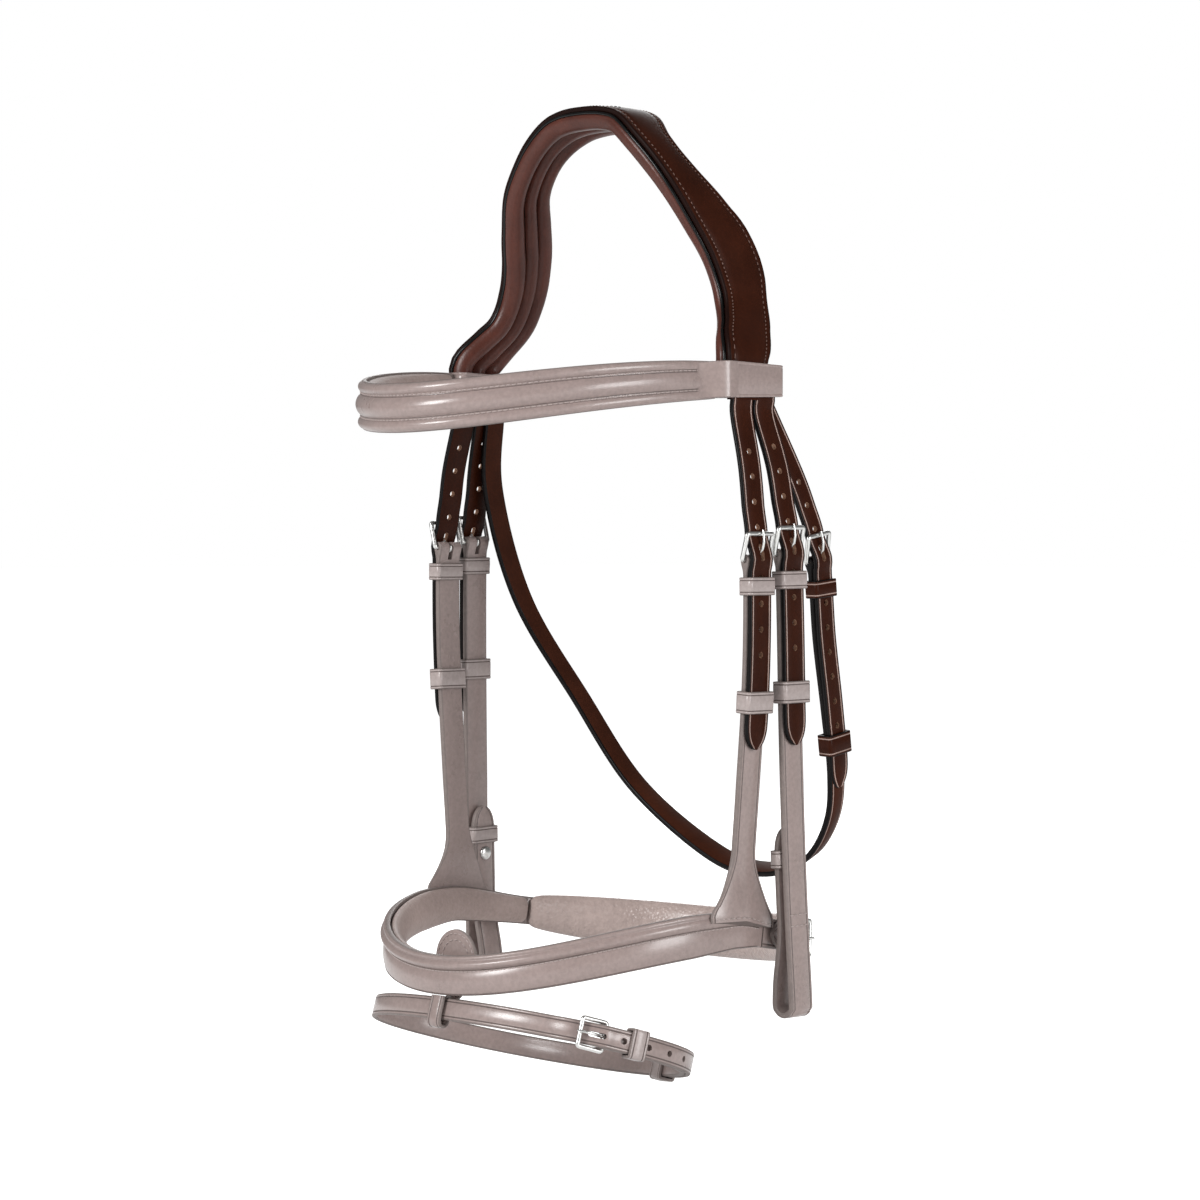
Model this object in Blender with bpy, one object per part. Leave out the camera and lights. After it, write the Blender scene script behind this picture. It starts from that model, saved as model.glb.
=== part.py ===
"""Padded snaffle bridle with a flash noseband, in metres.

+Z is up, the horse faces -Y, its near (left) side is +X and its off side is -X.
The origin is the middle of the headpiece's outer face, at the poll.
Every strap follows a ribbon: a smooth line in space with a width direction.
A point on a ribbon is (s, u, v): s along it, u across it and v out of its face.
"""

import bisect
import math

import bmesh
import bpy
from mathutils import Matrix, Vector

for old in list(bpy.data.objects):
    bpy.data.objects.remove(old)

# Overall sizes of the bridle on a full size head
HALF_WIDTH = 0.115
FACE_DEPTH = 0.150
BIT_DROP = 0.460

# The same half width, as shares of it, at the headpiece's ends and the two bands
CROWN_X = HALF_WIDTH * 0.8826
BROW_HALF_WIDTH = HALF_WIDTH * 0.8522
NOSE_HALF_WIDTH = HALF_WIDTH * 0.8957

# Leather
SEAT_GAP = 0.0003
CARRIER_THICKNESS = 0.0030
POINT_THICKNESS = 0.0024
EDGE_CHAMFER = 0.0006
CHEEK_WIDTH = 0.0155
THROAT_WIDTH = 0.013
FLASH_WIDTH = 0.0112
CHIN_WIDTH = 0.015
TIP_LENGTH = 0.014
TIP_POWER = 2.4
LEAST_TIP_SHARE = 0.12

# Headpiece
CROWN_Y = -0.0035
CROWN_END_WIDTH = 0.034
CROWN_POLL_WIDTH = 0.042
CROWN_THICKNESS = 0.0030
CROWN_PAD_THICKNESS = 0.0090
CROWN_PAD_OVERHANG = 0.0016
CROWN_END_DROP = 0.152
CROWN_PAD_END_DROP = 0.149
STRAP_LEAD = 0.008
STRAP_TOP_SHIFT = 0.0006

# Browband
BROW_DEPTH = 0.150
BROW_SIDE_DROP = 0.142
BROW_FRONT_DIP = 0.015
BROW_SIDE_HEIGHT = 0.0185
BROW_FRONT_HEIGHT = 0.0245
BROW_THICKNESS = 0.0034
BROW_RIDGE = 0.0026
BROW_PAD_THICKNESS = 0.0065
BROW_PAD_SHARE = 0.94
BROW_HEIGHT_POWER = 0.7
BROW_RIDGE_POWER = 0.4
LOOP_CLEARANCE = 0.0012
LOOP_WALL = 0.0020

# Noseband
NOSE_DEPTH = 0.111
NOSE_CENTRE_Y = -0.013
NOSE_SIDE_DROP = 0.4165
NOSE_FRONT_DIP = 0.0215
NOSE_REAR_DIP = 0.0170
NOSE_FRONT_HEIGHT = 0.0198
NOSE_CHEEK_HEIGHT = 0.0215
NOSE_SIDE_HEIGHT = 0.0185
NOSE_END_HEIGHT = 0.0150
NOSE_THICKNESS = 0.0032
NOSE_RIDGE = 0.0026
NOSE_PAD_THICKNESS = 0.0085
NOSE_PAD_SHARE = 0.96
NOSE_PAD_END_SHARE = 0.45
PAD_POWER = 0.5
CHIN_PAD_HEIGHT = 0.0280
CHIN_PAD_END_HEIGHT = 0.0150
CHIN_PAD_THICKNESS = 0.0080
CHIN_PAD_END_SHARE = 0.4

# Buckles, all of one pattern
WIRE_RADIUS = 0.0012
TONGUE_RADIUS = 0.0008
FOLD_THICKNESS = 0.0016
BUCKLE_LENGTH = 0.0130
PIVOT_CLEARANCE = 0.00015
SLOT_CLEARANCE = 0.0006
TOP_LIFT = 0.0012
FOLD_LENGTH = 0.0070
TONGUE_TURNS = [math.radians(degrees) for degrees in (300, 255, 210, 165, 120, 90)]

# Keepers
KEEPER_WALL = 0.0013
KEEPER_LENGTH = 0.0090
RUNNER_LENGTH = 0.0110
RUNNER_CLEARANCE = 0.0006

# Punched holes
HOLE_RADIUS = 0.0016
HOLE_PITCH = 0.01265
TONGUE_HOLE_SHARE = -0.28
TONGUE_HOLE_HALF_SHARE = 0.33
HOLES_ABOVE = 4
HOLES_BELOW = 4
CHIN_HOLES_ABOVE = 3
THROAT_HOLES_ABOVE = 3
THROAT_HOLES_BELOW = 7
THROAT_HOLE_LEFT_OUT = 1
FLASH_HOLES_BELOW = 4

# Places on the cheek straps, as drops below the poll on the near side
CHEEK_BUCKLE_ROOM = 0.0007
FRONT_BAR_DROP = 0.2320
REAR_BAR_DROP = 0.2290
FIXED_KEEPER_BELOW_BAR = 0.0130
FRONT_RUNNER_DROP = 0.3025
REAR_RUNNER_DROP = 0.2980
FRONT_TIP_DROP = 0.3260
REAR_TIP_DROP = 0.3245
OFF_SIDE_TAKE_UP = 0.006

# Bit cheeks
BIT_FOLD_RADIUS = 0.0055
BIT_CLOSE_DROP = 0.414
BILLET_TIP_DROP = 0.366
BILLET_KEEPER_DROP = 0.3815
STUD_DROP = 0.3915
STUD_RADIUS = 0.0017
STUD_HEAD_RADIUS = 0.0036
STUD_HEAD_THICKNESS = 0.0012
STUD_CROWN_SHARE = 0.8

# Noseband hanger
FLARE_START_DROP = 0.376
FLARE_WIDTH = 0.043
FLARE_POWER = 2.2

# Throatlatch
THROAT_BAR_DROP = 0.232
THROAT_KEEPER_BELOW_BAR = 0.0150
THROAT_RUNNER_DROP = 0.3250
THROAT_TIP_DROP = 0.3480
THROAT_TOP_INSET = 0.0036
THROAT_TOP_BACK = 0.0035

# Noseband and chin strap, as turns from the front of the noseband
NOSE_CHEEK_TURN = math.radians(72)
NOSE_SIDE_TURN = math.radians(90)
NOSE_NEAR_TURN = math.radians(98)
NOSE_OFF_TURN = math.radians(112)
CHIN_BAR_TURN = math.radians(122)
CHIN_PAD_TURN = math.radians(128)
CHIN_TIP_TURN = math.radians(101)

# Flash
FLASH_HALF_WIDTH = 0.094
FLASH_HALF_DEPTH = 0.060
FLASH_TILT_SHARE = 0.310
FLASH_FRONT_DROP = 0.4550
FLASH_TAB_WIDTH = 0.0300
FLASH_TAB_TOP_DROP = 0.4165
FLASH_TAB_THICKNESS = 0.0018
TAB_LOOP_WIDTH = 0.0095
TAB_CLEARANCE = 0.0007
TAB_END_SHARE = 0.25
FLASH_BAR_TURN = math.radians(62)
FLASH_TIP_BACK = 0.130
FLASH_KEEPER_BACK = 0.016
FLASH_RUNNER_BACK = 0.112

# Facets
STATION_STEP = 0.013
CROWN_STEP = 0.009
CURVE_STEP = 0.0135
TIGHT_STEP = 0.006
TAB_STEP = 0.0022
LEAST_STEP = 0.0014
BAND_SEGMENTS = 22
NOSE_SEGMENTS = 26
CHIN_SEGMENTS = 34
CHIN_PAD_SEGMENTS = 18
FLASH_SEGMENTS = 40
BIT_BEND_STEPS = 5
TAB_BEND_STEPS = 4
SHARP_ANGLE = math.radians(40)
WIRE_SIDES = 6
HOLE_SIDES = 6
BORE_SIDES = 8
RIBBON_SAMPLES = 24
OVERRUN = 0.003

NEAR = 1
OFF = -1


class Ribbon:
    """A smooth line through points, each with the direction in which the strap is wide."""

    def __init__(self, points, widths):
        count = len(points)
        widths = [Vector(w) for w in widths]
        points = [Vector(p) for p in points]
        before = 2 * points[0] - points[1]
        after = 2 * points[-1] - points[-2]
        line = [before, *points, after]
        self.points, self.widths = [], []
        for i in range(count - 1):
            p0, p1, p2, p3 = line[i : i + 4]
            last = i == count - 2
            for k in range(RIBBON_SAMPLES + (1 if last else 0)):
                t = k / RIBBON_SAMPLES
                blend = p1 * 2 + (p2 - p0) * t
                blend += (p0 * 2 - p1 * 5 + p2 * 4 - p3) * t**2
                blend += (p1 * 3 - p0 - p2 * 3 + p3) * t**3
                self.points.append(blend / 2)
                self.widths.append(widths[i].lerp(widths[i + 1], t))
        self.distances = [0.0]
        for a, b in zip(self.points, self.points[1:]):
            self.distances.append(self.distances[-1] + (b - a).length)
        self.length = self.distances[-1]
        self.tangents = []
        last = len(self.points) - 1
        for i in range(len(self.points)):
            step = self.points[min(i + 1, last)] - self.points[max(i - 1, 0)]
            self.tangents.append(step.normalized())

    def frame(self, s):
        """The point at s, and the directions along, across and out of the ribbon there."""
        inside = min(max(s, 0.0), self.length)
        i = min(max(bisect.bisect(self.distances, inside) - 1, 0), len(self.points) - 2)
        span = self.distances[i + 1] - self.distances[i]
        t = (inside - self.distances[i]) / span
        along = self.tangents[i].lerp(self.tangents[i + 1], t).normalized()
        point = self.points[i].lerp(self.points[i + 1], t) + along * (s - inside)
        across = self.widths[i].lerp(self.widths[i + 1], t)
        across = (across - along * across.dot(along)).normalized()
        return point, along, across, across.cross(along)

    def place(self, s, u, v):
        point, _, across, out = self.frame(s)
        return point + across * u + out * v

    def reach(self, drop):
        """The first s at which the ribbon comes down to this drop below the poll."""
        for i in range(len(self.points) - 1):
            high, low = -self.points[i].z, -self.points[i + 1].z
            if high <= drop <= low:
                return self.distances[i] + (self.distances[i + 1] - self.distances[i]) * (
                    (drop - high) / (low - high)
                )
        return self.length

    def nearest(self, target):
        """The s of the sample closest to a point."""
        gaps = [(p - target).length for p in self.points]
        return self.distances[gaps.index(min(gaps))]


def smooth(t):
    t = min(max(t, 0.0), 1.0)
    return t * t * (3 - 2 * t)


def through(knots):
    """A function that eases from each (s, value) to the next."""

    def value(s):
        if s <= knots[0][0]:
            return knots[0][1]
        for (s0, v0), (s1, v1) in zip(knots, knots[1:]):
            if s <= s1:
                return v0 + (v1 - v0) * smooth((s - s0) / (s1 - s0))
        return knots[-1][1]

    return value


def swell(share, power=1.0):
    """Nought at both ends of a band and one in its middle."""
    return max(math.sin(math.pi * share), 0.0) ** power


def spread(start, end, step):
    count = max(1, math.ceil((end - start) / step))
    return [start + (end - start) * k / count for k in range(count + 1)]


def trimmed(stations, cut_off):
    """The same stations with both ends drawn in."""
    return [stations[0] + cut_off, *stations[1:-1], stations[-1] - cut_off]


def material(name, colour, roughness, metallic=0.0):
    made = bpy.data.materials.new(name)
    made.use_nodes = True
    shader = made.node_tree.nodes["Principled BSDF"]
    shader.inputs["Base Color"].default_value = (*colour, 1.0)
    shader.inputs["Roughness"].default_value = roughness
    shader.inputs["Metallic"].default_value = metallic
    made.diffuse_color = (*colour, 1.0)
    return made


BROWN = material("brown_leather", (0.060, 0.022, 0.012), 0.35)
LINING = material("brown_lining", (0.150, 0.052, 0.042), 0.60)
THROAT_BROWN = material("throat_leather", (0.095, 0.040, 0.030), 0.45)
PALE = material("pale_leather", (0.310, 0.240, 0.220), 0.40)
PALE_LINING = material("pale_lining", (0.360, 0.270, 0.250), 0.60)
PALE_KEEPER = material("pale_keeper", (0.440, 0.380, 0.370), 0.40)
STEEL = material("stainless_steel", (0.700, 0.710, 0.700), 0.22, 1.0)


def mirror(bm, side):
    """The off side is the near side seen in the middle plane of the horse."""
    if side == OFF:
        for vert in bm.verts:
            vert.co.x = -vert.co.x


def outward(name, bm):
    """A mesh of the closed skin with its faces turned outward."""
    bmesh.ops.recalc_face_normals(bm, faces=bm.faces)
    if bm.calc_volume(signed=True) < 0:
        bmesh.ops.reverse_faces(bm, faces=bm.faces)
    mesh = bpy.data.meshes.new(name)
    bm.to_mesh(mesh)
    bm.free()
    return mesh


def add(name, bm, look, matrix=None):
    """Shades the skin and puts it in the scene."""
    mesh = outward(name, bm)
    mesh.shade_smooth()
    mesh.set_sharp_from_angle(angle=SHARP_ANGLE)
    mesh.materials.append(look)
    made = bpy.data.objects.new(name, mesh)
    bpy.context.scene.collection.objects.link(made)
    if matrix is not None:
        made.matrix_world = matrix
    return made


def add_placed(name, bm, look, ribbon, s, side=NEAR):
    """A rigid piece modelled in (s, u, v) about its joint, set on the ribbon at s."""
    point, along, across, out = ribbon.frame(s)
    if side == NEAR:
        for vert in bm.verts:
            vert.co.y = -vert.co.y
        across = -across
    else:
        flip = Vector((-1, 1, 1))
        point, along, across, out = (part * flip for part in (point, along, across, out))
    matrix = Matrix((along, across, out)).transposed().to_4x4()
    matrix.translation = point
    return add(name, bm, look, matrix)


def loft(rings, closed=False):
    """A skin over rings of points, with both ends capped unless it is closed."""
    bm = bmesh.new()
    loops = [[bm.verts.new(p) for p in ring] for ring in rings]
    pairs = list(zip(loops, loops[1:]))
    if closed:
        pairs.append((loops[-1], loops[0]))
    for a, b in pairs:
        for i in range(len(a)):
            j = (i + 1) % len(a)
            bm.faces.new((a[i], a[j], b[j], b[i]))
    if not closed:
        bm.faces.new(loops[0])
        bm.faces.new(list(reversed(loops[-1])))
    return bm


def slab(half_width, half_thickness, middle):
    """A strap's section: a flat rectangle with its corners cut."""
    c = min(EDGE_CHAMFER, half_width / 3, half_thickness / 2)
    w, t = half_width, half_thickness
    corners = [(c - w, -t), (w - c, -t), (w, c - t), (w, t - c)]
    corners += [(w - c, t), (c - w, t), (-w, t - c), (-w, c - t)]
    return [(u, v + middle) for u, v in corners]


def padded(half_width, low, high, channel):
    """A padding's section: flat on the leather at v high, two rolls with a channel at v low."""
    depth = high - low
    shares = [(-1, 0.10), (-1, 0.62), (-0.86, 0.92), (-0.52, 1), (-0.16, 0.96)]
    side = [(u * half_width, high - depth * share) for u, share in shares]
    middle = [(0, high - depth + channel)]
    far = [(-u, v) for u, v in reversed(side)]
    flat_shares = (0.94, -0.94)
    flats = [(half_width * share, high) for share in flat_shares]
    return list(reversed(side + middle + far + flats))


def ridged(half_width, low, thickness, ridge):
    """A raised band's section: thin edges, a bead along each and a broad round in the middle."""
    top = low + thickness
    edge_shares = [(1, 0.55), (0.95, 0.9), (0.83, 1.0), (0.72, 0.75)]
    right = [(u * half_width, low + thickness * share) for u, share in edge_shares]
    dome_shares = [(0.58, 0.62), (0.32, 0.93), (0, 1), (-0.32, 0.93), (-0.58, 0.62)]
    dome = [(u * half_width, top + ridge * share) for u, share in dome_shares]
    left = [(-u, v) for u, v in reversed(right)]
    return [(-half_width, low), (half_width, low)] + right + dome + left


def flat_solid(stations, section):
    """The strap laid out flat: its mesh coordinates are (s, u, v)."""
    return loft([[(s, u, v) for u, v in section(s)] for s in stations])


def cut(bm, cutters):
    """Cuts closed meshes out of a flat strap."""
    body = bpy.data.objects.new("strap", outward("strap", bm))
    bpy.context.scene.collection.objects.link(body)
    tools = []
    for tool in cutters:
        cutter = bpy.data.objects.new("cutter", outward("cutter", tool))
        bpy.context.scene.collection.objects.link(cutter)
        tools.append(cutter)
        modifier = body.modifiers.new("cut", "BOOLEAN")
        modifier.operation = "DIFFERENCE"
        modifier.solver = "EXACT"
        modifier.object = cutter
    bpy.context.view_layer.update()
    ready = body.evaluated_get(bpy.context.evaluated_depsgraph_get())
    result = bmesh.new()
    result.from_mesh(ready.to_mesh())
    for thing in (body, *tools):
        bpy.data.objects.remove(thing)
    return result


def wrap(bm, ribbon, side=NEAR):
    """Lays a flat strap along its ribbon."""
    for vert in bm.verts:
        vert.co = ribbon.place(*vert.co)
    mirror(bm, side)
    return bm


def block(s_range, u_range, v_range):
    bm = bmesh.new()
    bmesh.ops.create_cube(bm, size=1)
    for vert in bm.verts:
        spans = zip(vert.co, (s_range, u_range, v_range))
        vert.co = [(low + high) / 2 + share * (high - low) for share, (low, high) in spans]
    return bm


def punch(s, half_length, radius, v_range):
    """A round or oval punch through a flat strap."""
    ring = []
    for k in range(HOLE_SIDES):
        turn = math.tau * k / HOLE_SIDES
        shift = math.copysign(half_length - radius, math.cos(turn))
        ring.append((s + radius * math.cos(turn) + shift, radius * math.sin(turn)))
    return loft([[(a, b, v) for a, b in ring] for v in v_range])


def bar_bore(radius, half_width):
    """The bore through a strap's fold, across it, in which the buckle's bar lies."""
    rings = []
    for u in (-half_width - OVERRUN, half_width + OVERRUN):
        turns = [math.tau * (k + 1 / 3) / BORE_SIDES for k in range(BORE_SIDES)]
        rings.append([(radius * math.cos(a), u, radius * math.sin(a)) for a in turns])
    return loft(rings)


def tube(points, radius, sides, closed=False, flats=None):
    """A wire along points in (s, u, v)."""
    points = [Vector(p) for p in points]
    count = len(points)
    rings = []
    reference = None
    for i, point in enumerate(points):
        if closed:
            along = (points[(i + 1) % count] - points[i - 1]).normalized()
        else:
            along = (points[min(i + 1, count - 1)] - points[max(i - 1, 0)]).normalized()
        if reference is None:
            reference = along.orthogonal() if flats is None else Vector(flats)
        first = (reference - along * reference.dot(along)).normalized()
        reference = first if flats is None else reference
        second = along.cross(first)
        turns = [math.tau * (k + 1 / 2) / sides for k in range(sides)]
        ring = [point + (first * math.cos(a) + second * math.sin(a)) * radius for a in turns]
        rings.append(ring)
    return loft(rings, closed)


FOLD_RADIUS = WIRE_RADIUS + PIVOT_CLEARANCE + max(FOLD_THICKNESS, 2 * TONGUE_RADIUS)
BAR_LIFT = FOLD_RADIUS + SEAT_GAP + POINT_THICKNESS / 2
REST_LIFT = CARRIER_THICKNESS / 2 + SEAT_GAP + POINT_THICKNESS / 2
TOP_BAR_V = TOP_LIFT + POINT_THICKNESS / 2 + SEAT_GAP + WIRE_RADIUS
TONGUE_WRAP = WIRE_RADIUS + PIVOT_CLEARANCE + TONGUE_RADIUS
TONGUE_REST_V = TOP_BAR_V + WIRE_RADIUS + SEAT_GAP + TONGUE_RADIUS
SLOT_HALF_WIDTH = TONGUE_RADIUS + SLOT_CLEARANCE
fold_shares = (1, 0.94, 0.77, 0.5, 0.2)


def carrier_stations(end):
    """Stations of a strap from the round of its fold at the bar to its far end."""
    nose = [-FOLD_RADIUS * share for share in fold_shares]
    fold = spread(0.0, FOLD_LENGTH, FOLD_LENGTH / 3)
    return nose + fold + spread(FOLD_LENGTH, end, STATION_STEP)[1:]


def fold_half_thickness(s):
    if s < 0:
        return max(math.sqrt(max(FOLD_RADIUS**2 - s**2, 0)), FOLD_RADIUS / 8)
    thin = CARRIER_THICKNESS / 2
    return FOLD_RADIUS + (thin - FOLD_RADIUS) * smooth(s / FOLD_LENGTH)


def fold_cutters(half_width):
    """What is cut from a fold: the bar's bore and the slot in which the tongue swings."""
    room = FOLD_RADIUS + OVERRUN
    slot_end_share = 0.93
    slot = block((-room, FOLD_LENGTH * slot_end_share), (-SLOT_HALF_WIDTH, SLOT_HALF_WIDTH),
                 (-room, room))
    return [bar_bore(WIRE_RADIUS + PIVOT_CLEARANCE, half_width), slot]


class Shifted:
    """A ribbon counted from another place on it, such as the bar of a buckle."""

    def __init__(self, ribbon, start, turned=False):
        self.ribbon, self.start, self.turned = ribbon, start, turned

    def frame(self, s):
        if not self.turned:
            return self.ribbon.frame(self.start + s)
        point, along, across, out = self.ribbon.frame(self.start - s)
        return point, -along, -across, out

    def place(self, s, u, v):
        point, _, across, out = self.frame(s)
        return point + across * u + out * v


def buckle(prefix, line, half_width, side=NEAR):
    """A square wire frame on the fold's bar, and the tongue that lies on its far bar."""
    corner = WIRE_RADIUS
    reach = half_width + SEAT_GAP + corner
    rise = TOP_BAR_V / BUCKLE_LENGTH
    outline = []
    for s_end, u_sign in ((0, -1), (0, 1), (-BUCKLE_LENGTH, 1), (-BUCKLE_LENGTH, -1)):
        toward_s = -corner if s_end == 0 else corner
        leg = (s_end + toward_s, u_sign * reach)
        bar = (s_end, u_sign * (reach - corner))
        outline += [bar, leg] if (s_end == 0) == (u_sign > 0) else [leg, bar]
    wire = tube([(s, u, -s * rise) for s, u in outline], WIRE_RADIUS, WIRE_SIDES, True, (0, 0, 1))
    add_placed(prefix + "_buckle", wire, STEEL, line, 0.0, side)

    path = [(-TONGUE_WRAP * math.cos(a), 0, TONGUE_WRAP * math.sin(a)) for a in TONGUE_TURNS]
    rise_shares = [(0.26, 0.50), (0.46, 0.90), (0.70, 1.02), (1.0, 1.0)]
    path += [(-BUCKLE_LENGTH * a, 0, TONGUE_REST_V * b) for a, b in rise_shares]
    tip_share, fall_share = 1.6, 1 / 3
    path.append((-BUCKLE_LENGTH - WIRE_RADIUS * tip_share, 0, TONGUE_REST_V - WIRE_RADIUS * fall_share))
    wire = tube(path, TONGUE_RADIUS, WIRE_SIDES, False, (0, 1, 0))
    add_placed(prefix + "_tongue", wire, STEEL, line, 0.0, side)


def loop_of_leather(name, line, s, half_width, low, high, length, clear, look, side=NEAR):
    """A keeper: a band of leather sewn into a ring round straps that fill low to high."""
    wall = KEEPER_WALL
    u, bottom, top = half_width + clear, low - clear, high + clear
    corner = min(wall, (top - bottom) / 3)
    inner, outer = [], []
    for sign_u, sign_v in ((1, -1), (1, 1), (-1, 1), (-1, -1)):
        base_u, base_v = sign_u * u, bottom if sign_v < 0 else top
        steps = ((1, 0), (0, 1)) if sign_u * sign_v < 0 else ((0, 1), (1, 0))
        for toward_u, toward_v in steps:
            out_u, out_v = wall - toward_u * corner, wall - toward_v * corner
            inner.append((base_u, base_v))
            outer.append((base_u + sign_u * out_u, base_v + sign_v * out_v))
    half = length / 2
    bm = bmesh.new()
    rings = []
    for k in range(len(inner)):
        if k % 2 == 0:
            shared = [bm.verts.new((sign * half, *inner[k])) for sign in (-1, 1)]
        outside = [bm.verts.new((sign * half, *outer[k])) for sign in (1, -1)]
        rings.append(shared + outside)
    for a, b in zip(rings, rings[1:] + rings[:1]):
        for i in range(4):
            j = (i + 1) % 4
            corners = [a[i], a[j], b[j], b[i]]
            unique = list(dict.fromkeys(corners))
            if len(unique) > 2:
                bm.faces.new(unique)
    return add_placed(name, bm, look, line, s, side)


def tip_width(s, end, half_width):
    """Half the width of a strap that runs to an egg point at its end."""
    into = (s - (end - TIP_LENGTH)) / TIP_LENGTH
    if into <= 0:
        return half_width
    return half_width * max(math.sqrt(max(1 - into**TIP_POWER, 0)), LEAST_TIP_SHARE)


def tip_stations(start, end):
    body = spread(start, end - TIP_LENGTH, STATION_STEP)
    tip_shares = (0.35, 0.62, 0.82, 0.94, 1.0)
    return body + [end - TIP_LENGTH + TIP_LENGTH * share for share in tip_shares]


def punches(start, lift, above, below, left_out=None):
    """The round holes of a point strap and the longer one that the tongue comes through."""
    deep = POINT_THICKNESS / 2 + OVERRUN
    cutters = []
    for k in range(-above, below + 1):
        s = BUCKLE_LENGTH * TONGUE_HOLE_SHARE + k * HOLE_PITCH
        if k == left_out or s < start + HOLE_PITCH / 3:
            continue
        half_length, radius = HOLE_RADIUS, HOLE_RADIUS
        if k == 0:
            half_length, radius = BUCKLE_LENGTH * TONGUE_HOLE_HALF_SHARE, SLOT_HALF_WIDTH
        cutters.append(punch(s, half_length, radius, (lift(s) - deep, lift(s) + deep)))
    return cutters


def point_strap(name, line, start, end, half_width, lift, look, side, above, below, left_out=None):
    """A strap with punched holes that passes through a buckle whose bar is at s = 0."""
    knots = [s for s in (start, -BUCKLE_LENGTH * 2) if start <= s]
    over_fold = spread(-BUCKLE_LENGTH, FOLD_LENGTH, BUCKLE_LENGTH / 4)
    stations = sorted(knots + over_fold + tip_stations(start, end))
    kept = [stations[0]]
    for s in stations[1:]:
        if s - kept[-1] > LEAST_STEP:
            kept.append(s)

    def section(s):
        return slab(tip_width(s, end, half_width), POINT_THICKNESS / 2, lift(s))

    bm = cut(flat_solid(kept, section), punches(start, lift, above, below, left_out))
    return add(name, wrap(bm, line, side), look)


def scaled(shares):
    """Places of a strap's line, as shares of the half width, the depth and the drop."""
    return [Vector((x * HALF_WIDTH, y * FACE_DEPTH, z * -BIT_DROP)) for x, y, z in shares]


FORWARD = Vector((0, -1, 0))
BACKWARD = Vector((0, 1, 0))
UPWARD = Vector((0, 0, 1))


# Headpiece: places as shares of the overall sizes, and the width there

crown_shares = [
    (0.000, -0.020, 0.000, 1.00),
    (0.200, -0.034, 0.0068, 0.91),
    (0.350, -0.062, 0.034, 0.74),
    (0.510, -0.047, 0.080, 0.64),
    (0.604, 0.000, 0.124, 0.62),
    (0.664, 0.040, 0.159, 0.62),
    (0.711, 0.055, 0.193, 0.60),
    (0.758, 0.047, 0.226, 0.60),
    (0.820, 0.016, 0.250, 0.68),
]
crown_end_drop_shares = (0.842, 0.921, 1.0)


def crown_line():
    half = scaled([place for *place, _ in crown_shares])
    widths = [w * CROWN_POLL_WIDTH for _, _, _, w in crown_shares]
    for share in crown_end_drop_shares:
        half.append(Vector((CROWN_X, CROWN_Y, -share * CROWN_END_DROP)))
        widths.append(CROWN_END_WIDTH)
    mirrored = [Vector((-p.x, p.y, p.z)) for p in reversed(half[1:])]
    ribbon = Ribbon(mirrored + half, [FORWARD] * (2 * len(half) - 1))
    both = list(reversed(widths[1:])) + widths
    places = [ribbon.nearest(p) for p in mirrored + half]
    return ribbon, through(list(zip(places, both)))


crown, crown_width = crown_line()
crown_pad_high = -CROWN_THICKNESS / 2 - SEAT_GAP * 2
crown_pad_low = crown_pad_high - CROWN_PAD_THICKNESS


def build_crown():
    stations = spread(0.0, crown.length, CROWN_STEP)
    face = flat_solid(stations, lambda s: slab(crown_width(s) / 2, CROWN_THICKNESS / 2, 0.0))
    add("crown_face", wrap(face, crown), BROWN)
    stations = trimmed(stations, CROWN_END_DROP - CROWN_PAD_END_DROP)

    def pad(s):
        half = crown_width(s) / 2 + CROWN_PAD_OVERHANG
        return padded(half, crown_pad_low, crown_pad_high, CROWN_PAD_THICKNESS / 3)

    add("crown_padding", wrap(flat_solid(stations, pad), crown), LINING)


build_crown()


# Rings: the lines of the browband and the noseband


def ring_of(half_width, depth, centre_y, side_drop, front_dip, rear_dip=0.0):
    """A function from a turn, zero at the front and positive to the near side, to a point."""

    def point(turn):
        ahead = math.cos(turn)
        fall = front_dip * ahead**2 if ahead > 0 else rear_dip * -ahead
        return Vector((half_width * math.sin(turn), centre_y - depth * ahead, -side_drop - fall))

    return point


def band(ring, start, end, count):
    """The ribbon of a band along a ring, from one turn to another, wide upward."""
    turns = [start + (end - start) * k / count for k in range(count + 1)]
    return Ribbon([ring(a) for a in turns], [UPWARD] * (count + 1))


nose_ring = ring_of(NOSE_HALF_WIDTH, NOSE_DEPTH, NOSE_CENTRE_Y, NOSE_SIDE_DROP, NOSE_FRONT_DIP,
                    NOSE_REAR_DIP)
nose_line = band(nose_ring, NOSE_NEAR_TURN, -NOSE_OFF_TURN, NOSE_SEGMENTS)
NOSE_INNER_V = -NOSE_THICKNESS / 2
nose_heights = [
    (NOSE_NEAR_TURN, NOSE_END_HEIGHT),
    (NOSE_SIDE_TURN, NOSE_SIDE_HEIGHT),
    (NOSE_CHEEK_TURN, NOSE_CHEEK_HEIGHT),
    (0.0, NOSE_FRONT_HEIGHT),
    (-NOSE_CHEEK_TURN, NOSE_CHEEK_HEIGHT),
    (-NOSE_SIDE_TURN, NOSE_SIDE_HEIGHT),
    (-NOSE_OFF_TURN, NOSE_END_HEIGHT),
]
nose_half_height = through([(nose_line.nearest(nose_ring(a)), h / 2) for a, h in nose_heights])


# Cheek straps: the front pair holds the noseband and the rear pair the bit

STRAP_TOP_DROP = CROWN_END_DROP + SEAT_GAP
STRAP_TOP_X = CROWN_X + STRAP_TOP_SHIFT
FRONT_TOP_Y = CROWN_Y - CHEEK_WIDTH / 2 - SEAT_GAP
REAR_TOP_Y = CROWN_Y + CHEEK_WIDTH / 2 + SEAT_GAP
CHEEKS_APART = CHEEK_WIDTH + 4 * WIRE_RADIUS + 2 * SEAT_GAP + CHEEK_BUCKLE_ROOM


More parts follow.
